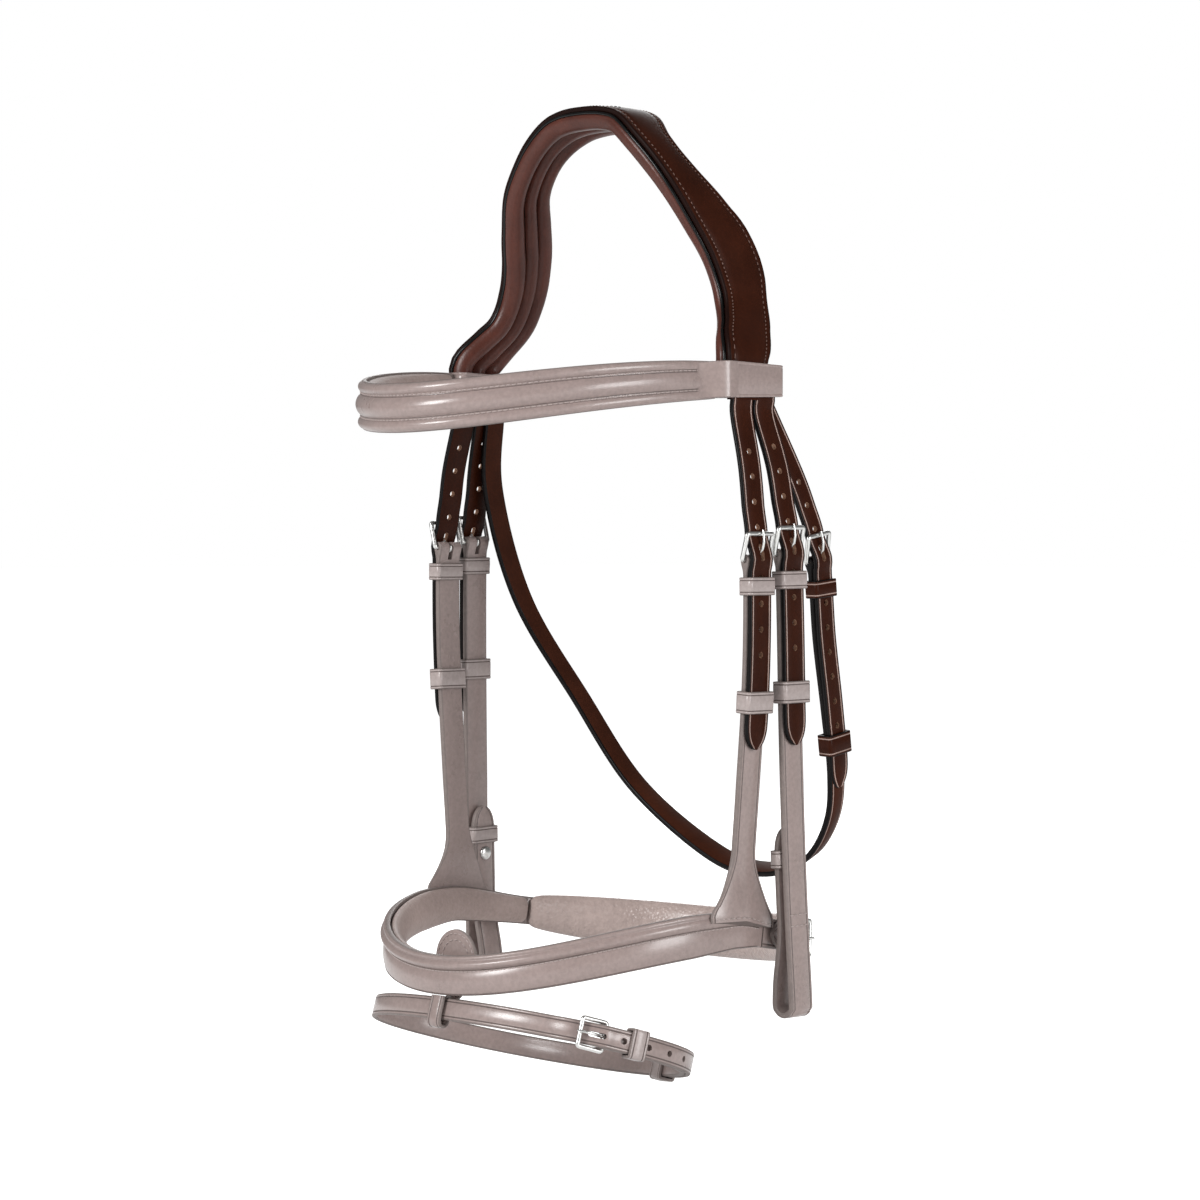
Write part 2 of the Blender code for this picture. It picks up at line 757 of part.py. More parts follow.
def led_down(x, y):
    """A strap leaves the headpiece straight down."""
    return [Vector((x, y, -STRAP_TOP_DROP - lead)) for lead in (0.0, STRAP_LEAD)]


hanger_s = nose_line.nearest(nose_ring(NOSE_SIDE_TURN))
HANGER_END_DROP = NOSE_SIDE_DROP - nose_half_height(hanger_s) - SEAT_GAP * 2
front_shares = [
    (0.947, -0.421, 0.410),
    (0.974, -0.435, 0.483),
    (0.978, -0.435, 0.570),
    (0.965, -0.428, 0.653),
    (0.934, -0.435, 0.750),
    (0.905, -0.442, 0.835),
]
rear_shares = [
    (0.955, 0.495, 0.410),
    (0.988, 0.558, 0.483),
    (0.998, 0.586, 0.570),
    (1.003, 0.627, 0.696),
    (1.012, 0.718, 0.848),
    (1.026, 0.843, 1.000),
]


def hung(shares):
    """Places of a cheek strap: its y is a share of the distance between the two straps."""
    return [Vector((x * HALF_WIDTH, CROWN_Y + y * CHEEKS_APART, z * -BIT_DROP)) for x, y, z in shares]


def hanging(points):
    return Ribbon(points, [FORWARD] * len(points))


front_points = led_down(STRAP_TOP_X, FRONT_TOP_Y) + hung(front_shares)
front_line = hanging(front_points + [Vector((NOSE_HALF_WIDTH, NOSE_CENTRE_Y, -HANGER_END_DROP))])
rear_points = led_down(STRAP_TOP_X, REAR_TOP_Y) + hung(rear_shares)
rear_points[-1].z += BIT_FOLD_RADIUS
rear_line = hanging(rear_points)


def buckled_knots(top, line):
    """How far a point strap stands out: flat at its top, over the fold and down on the carrier."""
    bar, _, _, out = line.frame(0.0)
    fall = (line.place(-BUCKLE_LENGTH, 0.0, 0.0) - bar).dot(out)
    flat_share = 2.2
    flat_from = max(top, -BUCKLE_LENGTH * flat_share)
    knots = [(flat_from, 0.0), (-BUCKLE_LENGTH, TOP_LIFT - fall)]
    return knots + [(0.0, BAR_LIFT), (FOLD_LENGTH, REST_LIFT)]


def build_cheek_end(prefix, ribbon, bar_s, keeper_s, runner_s, tip_s, half_width, looks, side,
                    above=HOLES_ABOVE, below=HOLES_BELOW, left_out=None, top_s=0.0, turned=False):
    """The point strap, buckle and keepers at the top of a carrier strap."""
    strap_look, keeper_look = looks
    line = Shifted(ribbon, bar_s, turned)
    sign = -1 if turned else 1
    top = sign * (top_s - bar_s)
    tip = sign * (tip_s - bar_s)
    lift = through(buckled_knots(top, line))
    point_strap(prefix + "_point_strap", line, top, tip, half_width, lift, strap_look, side,
                above, below, left_out)
    buckle(prefix, line, half_width, side)
    low, high = -CARRIER_THICKNESS / 2, REST_LIFT + POINT_THICKNESS / 2
    for name, s, length, clear in (
        ("_fixed_keeper", keeper_s, KEEPER_LENGTH, SEAT_GAP),
        ("_runner", runner_s, RUNNER_LENGTH, RUNNER_CLEARANCE),
    ):
        seat = Shifted(ribbon, s, turned)
        loop_of_leather(prefix + name, seat, 0.0, half_width, low, high, length, clear,
                        keeper_look, side)


def build_hanger(side, prefix):
    """The noseband's cheek piece, which flares where it is sewn to the noseband."""
    take_up = OFF_SIDE_TAKE_UP if side == OFF else 0.0
    bar = front_line.reach(FRONT_BAR_DROP - take_up)
    keeper = bar + FIXED_KEEPER_BELOW_BAR
    runner = front_line.reach(FRONT_RUNNER_DROP - take_up)
    tip = front_line.reach(FRONT_TIP_DROP - take_up)
    half = CHEEK_WIDTH / 2
    build_cheek_end(prefix, front_line, bar, keeper, runner, tip, half, (BROWN, PALE_KEEPER), side)
    line = Shifted(front_line, bar)
    end = front_line.length - bar
    flare = front_line.reach(FLARE_START_DROP) - bar

    def section(s):
        share = max(0.0, (s - flare) / (end - flare))
        wide = half + (FLARE_WIDTH / 2 - half) * share**FLARE_POWER
        return slab(wide, fold_half_thickness(s), 0.0)

    bm = flat_solid(carrier_stations(end), section)
    add(prefix + "_strap", wrap(cut(bm, fold_cutters(half)), line, side), PALE)


def build_bit_cheek(side, prefix):
    """The bit's cheek piece: it folds round the bit ring and hooks on a stud inside."""
    take_up = OFF_SIDE_TAKE_UP if side == OFF else 0.0
    bar = rear_line.reach(REAR_BAR_DROP - take_up)
    keeper = bar + FIXED_KEEPER_BELOW_BAR
    runner = rear_line.reach(REAR_RUNNER_DROP - take_up)
    tip = rear_line.reach(REAR_TIP_DROP - take_up)
    half = CHEEK_WIDTH / 2
    build_cheek_end(prefix, rear_line, bar, keeper, runner, tip, half, (BROWN, PALE_KEEPER), side)

    close = rear_line.reach(BIT_CLOSE_DROP)
    billet = rear_line.reach(BILLET_TIP_DROP)
    together = CARRIER_THICKNESS + KEEPER_WALL + SEAT_GAP * 3
    knots = [bar - STATION_STEP * 2] + spread(bar, rear_line.length, STATION_STEP * 2)
    outer = [rear_line.place(s, 0, 0) for s in knots]
    centre, along, _, out = rear_line.frame(rear_line.length)
    centre = centre - out * BIT_FOLD_RADIUS
    bend = []
    for k in range(1, BIT_BEND_STEPS):
        a = math.pi * k / BIT_BEND_STEPS
        bend.append(centre + (out * math.cos(a) + along * math.sin(a)) * BIT_FOLD_RADIUS)
    gap = through([(close, together), (rear_line.length, 2 * BIT_FOLD_RADIUS)])
    climb = reversed(spread(billet, rear_line.length, STATION_STEP))
    whole = hanging(outer + bend + [rear_line.place(s, 0, -gap(s)) for s in climb])
    line = Shifted(whole, whole.nearest(outer[1]))
    turn = whole.nearest(bend[1]) - line.start
    end = whole.length - line.start
    before, after = turn - BIT_FOLD_RADIUS * 2, turn + BIT_FOLD_RADIUS * 3
    stations = carrier_stations(before) + spread(before, after, BIT_FOLD_RADIUS / 2)[1:]
    stations += tip_stations(after, end)[1:]

    def section(s):
        wide = tip_width(s, end, half)
        return slab(wide, fold_half_thickness(s), 0.0)

    bm = flat_solid(stations, section)
    stud_point = rear_line.place(rear_line.reach(STUD_DROP), 0, -together)
    climbing = [i for i, d in enumerate(whole.distances) if d > line.start + turn + BIT_FOLD_RADIUS]
    nearest = min(climbing, key=lambda i: (whole.points[i] - stud_point).length)
    stud_s = whole.distances[nearest] - line.start
    deep = CARRIER_THICKNESS / 2 + OVERRUN
    keyhole = punch(stud_s, STUD_RADIUS * 2, STUD_RADIUS + SEAT_GAP, (-deep, deep))
    bm = cut(bm, fold_cutters(half) + [keyhole])
    add(prefix + "_strap", wrap(bm, line, side), PALE)

    low, high = -together - CARRIER_THICKNESS / 2, CARRIER_THICKNESS / 2 - together
    seat = rear_line.reach(BILLET_KEEPER_DROP)
    loop_of_leather(prefix + "_billet_keeper", rear_line, seat, half, low, high, KEEPER_LENGTH,
                    SEAT_GAP, PALE_KEEPER, side)

    top, head = -CARRIER_THICKNESS / 2 - SEAT_GAP, low - SEAT_GAP
    profile = [(STUD_RADIUS, top), (STUD_RADIUS, head), (STUD_HEAD_RADIUS, head)]
    profile.append((STUD_HEAD_RADIUS * STUD_CROWN_SHARE, head - STUD_HEAD_THICKNESS))
    rings = []
    for radius, v in profile:
        turns = [math.tau * k / HOLE_SIDES for k in range(HOLE_SIDES)]
        rings.append([(radius * math.cos(a), radius * math.sin(a), v) for a in turns])
    add_placed(prefix + "_hook_stud", loft(rings), STEEL, rear_line, rear_line.reach(STUD_DROP), side)


for side, word in ((NEAR, "near"), (OFF, "off")):
    build_hanger(side, word + "_noseband_cheek")
    build_bit_cheek(side, word + "_bit_cheek")


# Browband

LOOP_HALF_Y = CROWN_END_WIDTH / 2 + CROWN_PAD_OVERHANG + LOOP_CLEARANCE
LOOP_FRONT_Y = CROWN_Y - LOOP_HALF_Y - LOOP_WALL
BROW_START_Y = LOOP_FRONT_Y - SEAT_GAP
brow_turn = math.acos(-BROW_START_Y / BROW_DEPTH)
brow_ring = ring_of(BROW_HALF_WIDTH, BROW_DEPTH, 0.0, BROW_SIDE_DROP, BROW_FRONT_DIP)
brow_line = band(brow_ring, brow_turn, -brow_turn, BAND_SEGMENTS)


def brow_half_height(s):
    share = swell(s / brow_line.length, BROW_HEIGHT_POWER)
    return (BROW_SIDE_HEIGHT + (BROW_FRONT_HEIGHT - BROW_SIDE_HEIGHT) * share) / 2


def build_browband():
    stations = spread(0.0, brow_line.length, CURVE_STEP)
    low = -BROW_THICKNESS / 2

    def face(s):
        ease = swell(s / brow_line.length, BROW_RIDGE_POWER)
        return ridged(brow_half_height(s), low, BROW_THICKNESS, BROW_RIDGE * ease)

    def pad(s):
        ease = 1 / 2 + swell(s / brow_line.length, PAD_POWER) / 2
        high = low - SEAT_GAP
        half = brow_half_height(s) * BROW_PAD_SHARE
        return padded(half, high - BROW_PAD_THICKNESS * ease, high, BROW_PAD_THICKNESS / 8)

    add("browband_face", wrap(flat_solid(stations, face), brow_line), PALE)
    stations = trimmed(stations, BROW_PAD_THICKNESS / 5)
    add("browband_padding", wrap(flat_solid(stations, pad), brow_line), PALE_LINING)
    wide = CROWN_END_WIDTH / 2 + CROWN_PAD_OVERHANG
    drops = [BROW_SIDE_DROP + k * BROW_SIDE_HEIGHT for k in (-1, 0, 1)]
    hub = hanging([Vector((CROWN_X, CROWN_Y, -drop)) for drop in drops])
    seat = hub.reach(BROW_SIDE_DROP)
    for side, word in ((NEAR, "near"), (OFF, "off")):
        loop_of_leather("browband_" + word + "_loop", hub, seat, wide, crown_pad_low,
                        CROWN_THICKNESS / 2, BROW_SIDE_HEIGHT, LOOP_CLEARANCE, PALE, side)


build_browband()


# Noseband


def build_noseband():
    stations = spread(0.0, nose_line.length, CURVE_STEP)

    def face(s):
        ease = swell(s / nose_line.length, PAD_POWER)
        return ridged(nose_half_height(s), NOSE_INNER_V, NOSE_THICKNESS, NOSE_RIDGE * ease)

    def pad(s):
        bulk = swell(s / nose_line.length, PAD_POWER)
        ease = NOSE_PAD_END_SHARE + (1 - NOSE_PAD_END_SHARE) * bulk
        high = NOSE_INNER_V - SEAT_GAP
        half = nose_half_height(s) * NOSE_PAD_SHARE
        return padded(half, high - NOSE_PAD_THICKNESS * ease, high, NOSE_PAD_THICKNESS / 9)

    add("noseband_face", wrap(flat_solid(stations, face), nose_line), PALE)
    add("noseband_padding", wrap(flat_solid(stations, pad), nose_line), PALE_LINING)


build_noseband()


# Chin strap: sewn to the noseband's off end, it buckles to the near end


def build_chin():
    end_gap = SEAT_GAP / NOSE_HALF_WIDTH
    start = -NOSE_OFF_TURN - end_gap
    rear = band(nose_ring, start, NOSE_NEAR_TURN + end_gap - math.tau, CHIN_SEGMENTS)
    bar = rear.nearest(nose_ring(CHIN_BAR_TURN))
    tip = rear.nearest(nose_ring(CHIN_TIP_TURN))
    half = CHIN_WIDTH / 2
    room = rear.length - bar
    keeper = bar + FOLD_LENGTH + KEEPER_LENGTH / 2 + SEAT_GAP * 3
    line = Shifted(rear, bar)
    lift = through(buckled_knots(-bar, line))
    point_strap("chin_strap", line, -bar, tip - bar, half, lift, PALE, NEAR, CHIN_HOLES_ABOVE, 0)
    buckle("chin", line, half)
    bm = flat_solid(carrier_stations(room), lambda s: slab(half, fold_half_thickness(s), 0.0))
    add("noseband_buckle_strap", wrap(cut(bm, fold_cutters(half)), line), PALE)
    loop_of_leather("chin_fixed_keeper", rear, keeper, half, -CARRIER_THICKNESS / 2,
                    REST_LIFT + POINT_THICKNESS / 2, KEEPER_LENGTH, SEAT_GAP * 2, PALE_KEEPER)

    pad_line = band(nose_ring, start - end_gap, CHIN_PAD_TURN - math.tau, CHIN_PAD_SEGMENTS)
    high = -POINT_THICKNESS / 2 - SEAT_GAP * 2

    def pad(s):
        bulk = swell(s / pad_line.length, PAD_POWER)
        ease = CHIN_PAD_END_SHARE + (1 - CHIN_PAD_END_SHARE) * bulk
        half_height = CHIN_PAD_END_HEIGHT + (CHIN_PAD_HEIGHT - CHIN_PAD_END_HEIGHT) * bulk
        return padded(half_height / 2, high - CHIN_PAD_THICKNESS * ease, high, CHIN_PAD_THICKNESS / 9)

    stations = spread(0.0, pad_line.length, CURVE_STEP)
    add("chin_pad", wrap(flat_solid(stations, pad), pad_line), PALE_LINING)


build_chin()


# Throatlatch

throat_shares = [
    (-0.905, 0.085, 0.425),
    (-0.880, 0.213, 0.552),
    (-0.660, 0.340, 0.667),
    (-0.350, 0.400, 0.768),
    (0.130, 0.420, 0.837),
    (0.440, 0.425, 0.850),
    (0.680, 0.425, 0.834),
    (0.825, 0.415, 0.793),
    (0.890, 0.385, 0.742),
    (0.908, 0.345, 0.670),
    (0.910, 0.305, 0.590),
    (0.912, 0.275, 0.505),
    (0.900, 0.215, 0.435),
]
THROAT_TOP_X = CROWN_X - THROAT_TOP_INSET
THROAT_TOP_Y = REAR_TOP_Y + THROAT_TOP_BACK


def build_throatlatch():
    top = Vector((THROAT_TOP_X, THROAT_TOP_Y, -STRAP_TOP_DROP))
    points = [Vector((-top.x, top.y, top.z)), *scaled(throat_shares), top]
    whole = Ribbon(points, [BACKWARD] * len(points))
    bottom = whole.reach(max(-p.z for p in whole.points))
    climbing = [i for i, d in enumerate(whole.distances) if d > bottom]

    def up_at(drop):
        return whole.distances[min(climbing, key=lambda i: abs(whole.points[i].z + drop))]

    bar = up_at(THROAT_BAR_DROP)
    keeper = up_at(THROAT_BAR_DROP + THROAT_KEEPER_BELOW_BAR)
    half = THROAT_WIDTH / 2
    build_cheek_end("throatlatch", whole, bar, keeper, up_at(THROAT_RUNNER_DROP),
                    up_at(THROAT_TIP_DROP), half, (BROWN, BROWN), NEAR, THROAT_HOLES_ABOVE,
                    THROAT_HOLES_BELOW, THROAT_HOLE_LEFT_OUT, whole.length, True)
    line = Shifted(whole, bar, True)
    bm = flat_solid(carrier_stations(bar), lambda s: slab(half, fold_half_thickness(s), 0.0))
    add("throatlatch_strap", wrap(cut(bm, fold_cutters(half)), line), THROAT_BROWN)


build_throatlatch()


# Flash: a tab on the noseband's middle holds the strap

TAB_OUT_Y = nose_ring(0).y + NOSE_THICKNESS / 2
TAB_SAG = FLASH_TAB_WIDTH**2 / (8 * (NOSE_HALF_WIDTH - 2 * NOSE_PAD_THICKNESS))
TAB_DEPTH = NOSE_PAD_THICKNESS + TAB_SAG + LOOP_CLEARANCE + FLASH_TAB_THICKNESS / 2
TAB_IN_Y = TAB_OUT_Y + TAB_DEPTH
NOSE_BOTTOM_DROP = NOSE_SIDE_DROP + NOSE_FRONT_DIP + NOSE_FRONT_HEIGHT / 2
flash_slope = math.atan(FLASH_TILT_SHARE)
flash_down = Vector((0, -math.sin(flash_slope), -math.cos(flash_slope)))
flash_ahead = Vector((0, -math.cos(flash_slope), math.sin(flash_slope)))
TAB_RADIUS = CARRIER_THICKNESS / 2 + TAB_CLEARANCE + FLASH_TAB_THICKNESS / 2
FLASH_Y = TAB_OUT_Y + FLASH_TAB_THICKNESS / 2
flash_front = Vector((0, FLASH_Y, -FLASH_FRONT_DROP))


def build_flash_tab():
    """A half oval patch behind the noseband that narrows to a loop hung along the strap."""
    reach = FLASH_WIDTH / 2 + LOOP_CLEARANCE
    under = NOSE_BOTTOM_DROP + FLASH_TAB_THICKNESS
    drops = spread(FLASH_TAB_TOP_DROP, NOSE_BOTTOM_DROP - FLASH_TAB_THICKNESS, STATION_STEP)
    points = [Vector((0, TAB_IN_Y, -drop)) for drop in drops]
    points.append(Vector((0, TAB_IN_Y - FLASH_TAB_THICKNESS, -under)))
    behind = flash_front - flash_ahead * TAB_RADIUS
    ahead = flash_front + flash_ahead * TAB_RADIUS
    points += [behind - flash_down * FLASH_WIDTH / 3, behind + flash_down * FLASH_WIDTH / 3]
    centre = flash_front + flash_down * (reach - TAB_RADIUS / 3)
    for k in range(1, TAB_BEND_STEPS):
        a = math.pi * k / TAB_BEND_STEPS
        points.append(centre + (flash_down * math.sin(a) - flash_ahead * math.cos(a)) * TAB_RADIUS)
    climb = (-NOSE_BOTTOM_DROP - SEAT_GAP * 2 - ahead.z) / flash_down.z
    points += [ahead + flash_down * FLASH_WIDTH / 3, ahead + flash_down * climb]
    ribbon = Ribbon(points, [Vector((1, 0, 0))] * len(points))
    patch = FLASH_TAB_WIDTH / 2
    wide = through([(patch, patch), (ribbon.reach(NOSE_BOTTOM_DROP), TAB_LOOP_WIDTH / 2)])

    def section(s):
        into = max(0.0, 1 - s / patch)
        round_share = max(math.sqrt(1 - into**2), TAB_END_SHARE)
        return slab(wide(s) * round_share, FLASH_TAB_THICKNESS / 2, 0.0)

    bm = flat_solid(spread(0.0, ribbon.length, TAB_STEP), section)
    add("flash_tab", wrap(bm, ribbon), PALE)


def flash_ring(turn):
    ahead = math.cos(turn)
    y = FLASH_Y + FLASH_HALF_DEPTH * (1 - ahead)
    z = -FLASH_FRONT_DROP - FLASH_TILT_SHARE * (y - FLASH_Y)
    return Vector((FLASH_HALF_WIDTH * math.sin(turn), y, z))


def build_flash():
    """One strap: from its buckle it goes round behind the jaw and back through the buckle."""
    count = FLASH_SEGMENTS + FLASH_SEGMENTS // 2
    turns = [FLASH_BAR_TURN + math.tau * k / FLASH_SEGMENTS for k in range(count)]
    whole = Ribbon([flash_ring(a) for a in turns], [flash_down] * count)
    once = whole.distances[FLASH_SEGMENTS * RIBBON_SAMPLES]
    half = FLASH_WIDTH / 2
    end = once + FLASH_TIP_BACK
    line = Shifted(whole, once)
    lift = through(buckled_knots(-once, line))

    def section(s):
        thick = POINT_THICKNESS / 2 if s > once / 3 else fold_half_thickness(s)
        return slab(tip_width(s, end, half), thick, lift(s - once))

    near_end = FLASH_TIP_BACK + TIP_LENGTH
    stations = carrier_stations(FOLD_LENGTH + TIGHT_STEP)
    for stop, step in (
        (near_end, TIGHT_STEP),
        (once - BUCKLE_LENGTH * 2, STATION_STEP),
        (once, BUCKLE_LENGTH / 4),
        (once + FOLD_LENGTH, BUCKLE_LENGTH / 4),
        (end - TIP_LENGTH, TIGHT_STEP),
    ):
        stations += spread(stations[-1], stop, step)[1:]
    stations += tip_stations(stations[-1], end)[2:]
    holes = punches(-once, lift, 0, FLASH_HOLES_BELOW)
    for hole in holes:
        bmesh.ops.translate(hole, verts=hole.verts, vec=(once, 0, 0))
    cutters = fold_cutters(half) + holes
    add("flash_strap", wrap(cut(flat_solid(stations, section), cutters), whole), PALE)
    buckle("flash", Shifted(whole, 0.0), half)
    low, high = -CARRIER_THICKNESS / 2, REST_LIFT + POINT_THICKNESS / 2
    for name, s, length, clear in (
        ("flash_fixed_keeper", FLASH_KEEPER_BACK, KEEPER_LENGTH, SEAT_GAP * 2),
        ("flash_runner", FLASH_RUNNER_BACK, RUNNER_LENGTH, RUNNER_CLEARANCE),
    ):
        loop_of_leather(name, whole, s, half, low, high, length, clear, PALE_KEEPER)


build_flash_tab()
build_flash()
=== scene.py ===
"""Looks of the padded snaffle bridle, in metres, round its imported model.

+Z is up, the horse faces -Y, its near (left) side is +X and its off side is -X.
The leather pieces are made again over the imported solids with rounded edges, creases,
stitching and stuffed linings. A point on a strap's ribbon is (s, u, v): along, across, out.
"""

import bisect
from math import acos, atan, ceil, copysign, cos, exp, pi, radians, sin, sqrt, tau

import bmesh
import bpy
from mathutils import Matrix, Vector, noise


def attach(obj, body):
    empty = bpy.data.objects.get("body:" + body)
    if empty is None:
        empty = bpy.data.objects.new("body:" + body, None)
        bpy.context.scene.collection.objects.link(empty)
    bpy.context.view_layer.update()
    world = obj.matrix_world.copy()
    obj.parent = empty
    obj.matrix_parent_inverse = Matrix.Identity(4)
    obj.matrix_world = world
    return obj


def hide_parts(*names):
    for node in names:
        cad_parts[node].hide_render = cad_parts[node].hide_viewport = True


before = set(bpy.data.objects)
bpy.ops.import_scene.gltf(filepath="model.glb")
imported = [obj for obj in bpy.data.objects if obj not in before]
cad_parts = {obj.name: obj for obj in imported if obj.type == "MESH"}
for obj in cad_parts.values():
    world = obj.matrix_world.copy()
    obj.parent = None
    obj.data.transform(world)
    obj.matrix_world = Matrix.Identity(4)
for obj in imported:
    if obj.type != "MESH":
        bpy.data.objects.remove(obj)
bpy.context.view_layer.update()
noise.seed_set(7)

NEAR, OFF = 1, -1
HEAD = "headstall"
FORWARD, BACKWARD, UPWARD = Vector((0, -1, 0)), Vector((0, 1, 0)), Vector((0, 0, 1))

# Sizes shared with the solids
HALF_WIDTH, FACE_DEPTH, BIT_DROP = 0.115, 0.15, 0.46
SEAT_GAP = 0.0003
CARRIER_THICKNESS, POINT_THICKNESS = 0.003, 0.0024
CHEEK_WIDTH, THROAT_WIDTH, FLASH_WIDTH, CHIN_WIDTH = 0.0155, 0.013, 0.0112, 0.015
TIP_LENGTH = 0.014
WIRE_RADIUS, TONGUE_RADIUS, FOLD_RADIUS = 0.0012, 0.0008, 0.00295
BUCKLE_LENGTH, FOLD_LENGTH, TOP_LIFT = 0.013, 0.007, 0.0012
PIVOT_CLEARANCE, SLOT_HALF_WIDTH = 0.00015, 0.0014
SLOT_MIDDLE, SLOT_HALF_LENGTH = BUCKLE_LENGTH * -0.28, BUCKLE_LENGTH * 0.33
HOLE_RADIUS, HOLE_PITCH = 0.0016, 0.01265
KEEPER_WALL, KEEPER_LENGTH = 0.0013, 0.009
RUNNER_LENGTH, RUNNER_CLEARANCE = 0.011, 0.0006
LOOP_CLEARANCE, LOOP_WALL = 0.0012, 0.002
OFF_SIDE_TAKE_UP = 0.006

BAR_LIFT = FOLD_RADIUS + SEAT_GAP + POINT_THICKNESS / 2
REST_LIFT = CARRIER_THICKNESS / 2 + SEAT_GAP + POINT_THICKNESS / 2
BOTH_STRAPS = (-CARRIER_THICKNESS / 2, REST_LIFT + POINT_THICKNESS / 2)
TOP_BAR_V = TOP_LIFT + POINT_THICKNESS / 2 + SEAT_GAP + WIRE_RADIUS
TONGUE_WRAP = WIRE_RADIUS + PIVOT_CLEARANCE + TONGUE_RADIUS
TONGUE_REST_V = TOP_BAR_V + WIRE_RADIUS + SEAT_GAP + TONGUE_RADIUS

# Surface detail
STEP, FINE_STEP, PAD_STEP, CROWN_PAD_STEP = 0.003, 0.0012, 0.005, 0.0045
EDGE_ROUND = 0.0009
CREASE_IN, CREASE_WIDTH, CREASE_DEPTH = 0.0019, 0.00035, 0.00022
STITCH_PITCH, STITCH_LENGTH, STITCH_RADIUS = 0.0031, 0.0023, 0.00034
STITCH_SIDES = 6
THREAD_LIFT = 0.0001
GROOVE_SHADE_RADIUS = 0.00026
OVERRUN = 0.003
RIBBON_SAMPLES = 24
HOLE_SIDES = 14
SEWN_IN = 0.003


# Materials


class Nodes:
    """Adds shader nodes to a tree and joins them."""

    def __init__(self, tree):
        self.tree = tree

    def add(self, kind, **values):
        return self.set(self.tree.nodes.new("ShaderNode" + kind), **values)

    def set(self, node, **values):
        for key, value in values.items():
            if hasattr(node, key):
                setattr(node, key, value)
            else:
                node.inputs[key.replace("_", " ")].default_value = value
        return node

    def join(self, source, out, target, into):
        self.tree.links.new(source.outputs[out], target.inputs[into])


class Surface(Nodes):
    """A material with the nodes that leather, thread and metal share."""

    def __init__(self, name):
        self.material = bpy.data.materials.new(name)
        self.material.use_nodes = True
        super().__init__(self.material.node_tree)
        self.shader = self.tree.nodes["Principled BSDF"]

    def texture(self, kind, **values):
        node = self.add("Tex" + kind, **values)
        self.join(self.add("TexCoord"), "Object", node, "Vector")
        return node

    def ramp(self, source, *stops):
        node = self.add("ValToRGB")
        elements = node.color_ramp.elements
        while len(elements) < len(stops):
            elements.new(0.5)
        for element, (place, colour) in zip(elements, stops):
            element.position = place
            element.color = (*colour, 1.0)
        self.join(source, "Fac", node, "Fac")
        return node

    def gloss(self, source, low, high):
        scale = self.add("MapRange", To_Min=low, To_Max=high)
        self.join(source, "Fac", scale, "Value")
        self.join(scale, "Result", self.shader, "Roughness")

    def relief(self, source, out, strength, distance):
        node = self.add("Bump", Strength=strength, Distance=distance)
        self.join(source, out, node, "Height")
        self.join(node, "Normal", self.shader, "Normal")


def shade(colour, factor):
    return tuple(min(1.0, channel * factor) for channel in colour)


def leather(name, colour, rough, grain, coat=0.0, pebble=900.0, variation=0.22, spec=0.35):
    """Leather: pebbled grain, fine creases, and colour and gloss that vary along it."""
    made = Surface(name)
    broad = made.texture("Noise", Scale=45.0, Detail=5.0, Roughness=0.6)
    cells = made.texture("Voronoi", Scale=pebble, Randomness=1.0)
    fine = made.texture("Noise", Scale=pebble * 0.55, Detail=3.0, Roughness=0.55)
    dark, light = shade(colour, 1 - variation), shade(colour, 1 + variation)
    tone = made.ramp(broad, (0.3, dark), (0.52, colour), (0.72, light))
    speck = made.ramp(fine, (0.35, (0.86,) * 3), (0.65, (1.06,) * 3))
    mixed = made.add("MixRGB", blend_type="MULTIPLY", Fac=0.7)
    made.join(tone, "Color", mixed, "Color1")
    made.join(speck, "Color", mixed, "Color2")
    made.join(mixed, "Color", made.shader, "Base Color")
    made.gloss(broad, max(rough - 0.07, 0.05), rough + 0.1)
    heights = made.add("Math", operation="ADD")
    made.join(cells, "Distance", heights, 0)
    made.join(fine, "Fac", heights, 1)
    made.relief(heights, "Value", grain, 0.0004)
    made.set(made.shader, Coat_Weight=coat, Coat_Roughness=0.22, Specular_IOR_Level=spec)
    return made.material


def thread(name, colour):
    """Waxed thread, with its twist as bump."""
    made = Surface(name)
    twist = made.texture("Wave", Scale=900.0, Distortion=1.5)
    tone = made.ramp(twist, (0.0, shade(colour, 0.75)), (1.0, colour))
    made.join(tone, "Color", made.shader, "Base Color")
    made.relief(twist, "Fac", 0.3, 0.0002)
    made.set(made.shader, Roughness=0.62)
    return made.material


def metal(name, colour, rough):
    """Polished metal with fine brushed wear."""
    made = Surface(name)
    wear = made.texture("Noise", Scale=420.0, Detail=6.0, Roughness=0.7)
    tone = made.ramp(wear, (0.35, shade(colour, 0.88)), (0.7, colour))
    made.join(tone, "Color", made.shader, "Base Color")
    made.gloss(wear, rough * 0.7, rough * 1.5)
    made.set(made.shader, Metallic=1.0)
    return made.material


BROWN = leather("brown_face", (0.029, 0.0064, 0.0022), 0.38, 0.05, spec=0.08)
BROWN_EDGE = leather("brown_edge", (0.003, 0.002, 0.002), 0.35, 0.05, spec=0.15)
# The creases pressed along the brown straps are real; their pale colour is a painted highlight along
# them.
BROWN_CREASE_HIGHLIGHT = leather("brown_crease_highlight", (0.3, 0.21, 0.18), 0.4, 0.1)
LINING = leather("brown_lining_soft", (0.07, 0.019, 0.012), 0.36, 0.16, coat=0.1, spec=0.25)
# Near-black for the cords along the crown lining's stitched channels: partly the seam, partly painted
# shade in the channels.
LINING_SEAM_SHADE = leather("lining_seam_shade", (0.008, 0.002, 0.001), 0.7, 0.05, spec=0.03)
CROWN_EDGE = leather("crown_edge", (0.01, 0.003, 0.002), 0.45, 0.05, spec=0.08)
PIPING = leather("black_piping", (0.003, 0.003, 0.003), 0.25, 0.02, coat=0.15, spec=0.2)
THROAT = leather("throat_face", (0.04, 0.0105, 0.0045), 0.5, 0.05, spec=0.06)
PALE = leather("pale_face", (0.262, 0.204, 0.19), 0.28, 0.07, coat=0.5, variation=0.05)
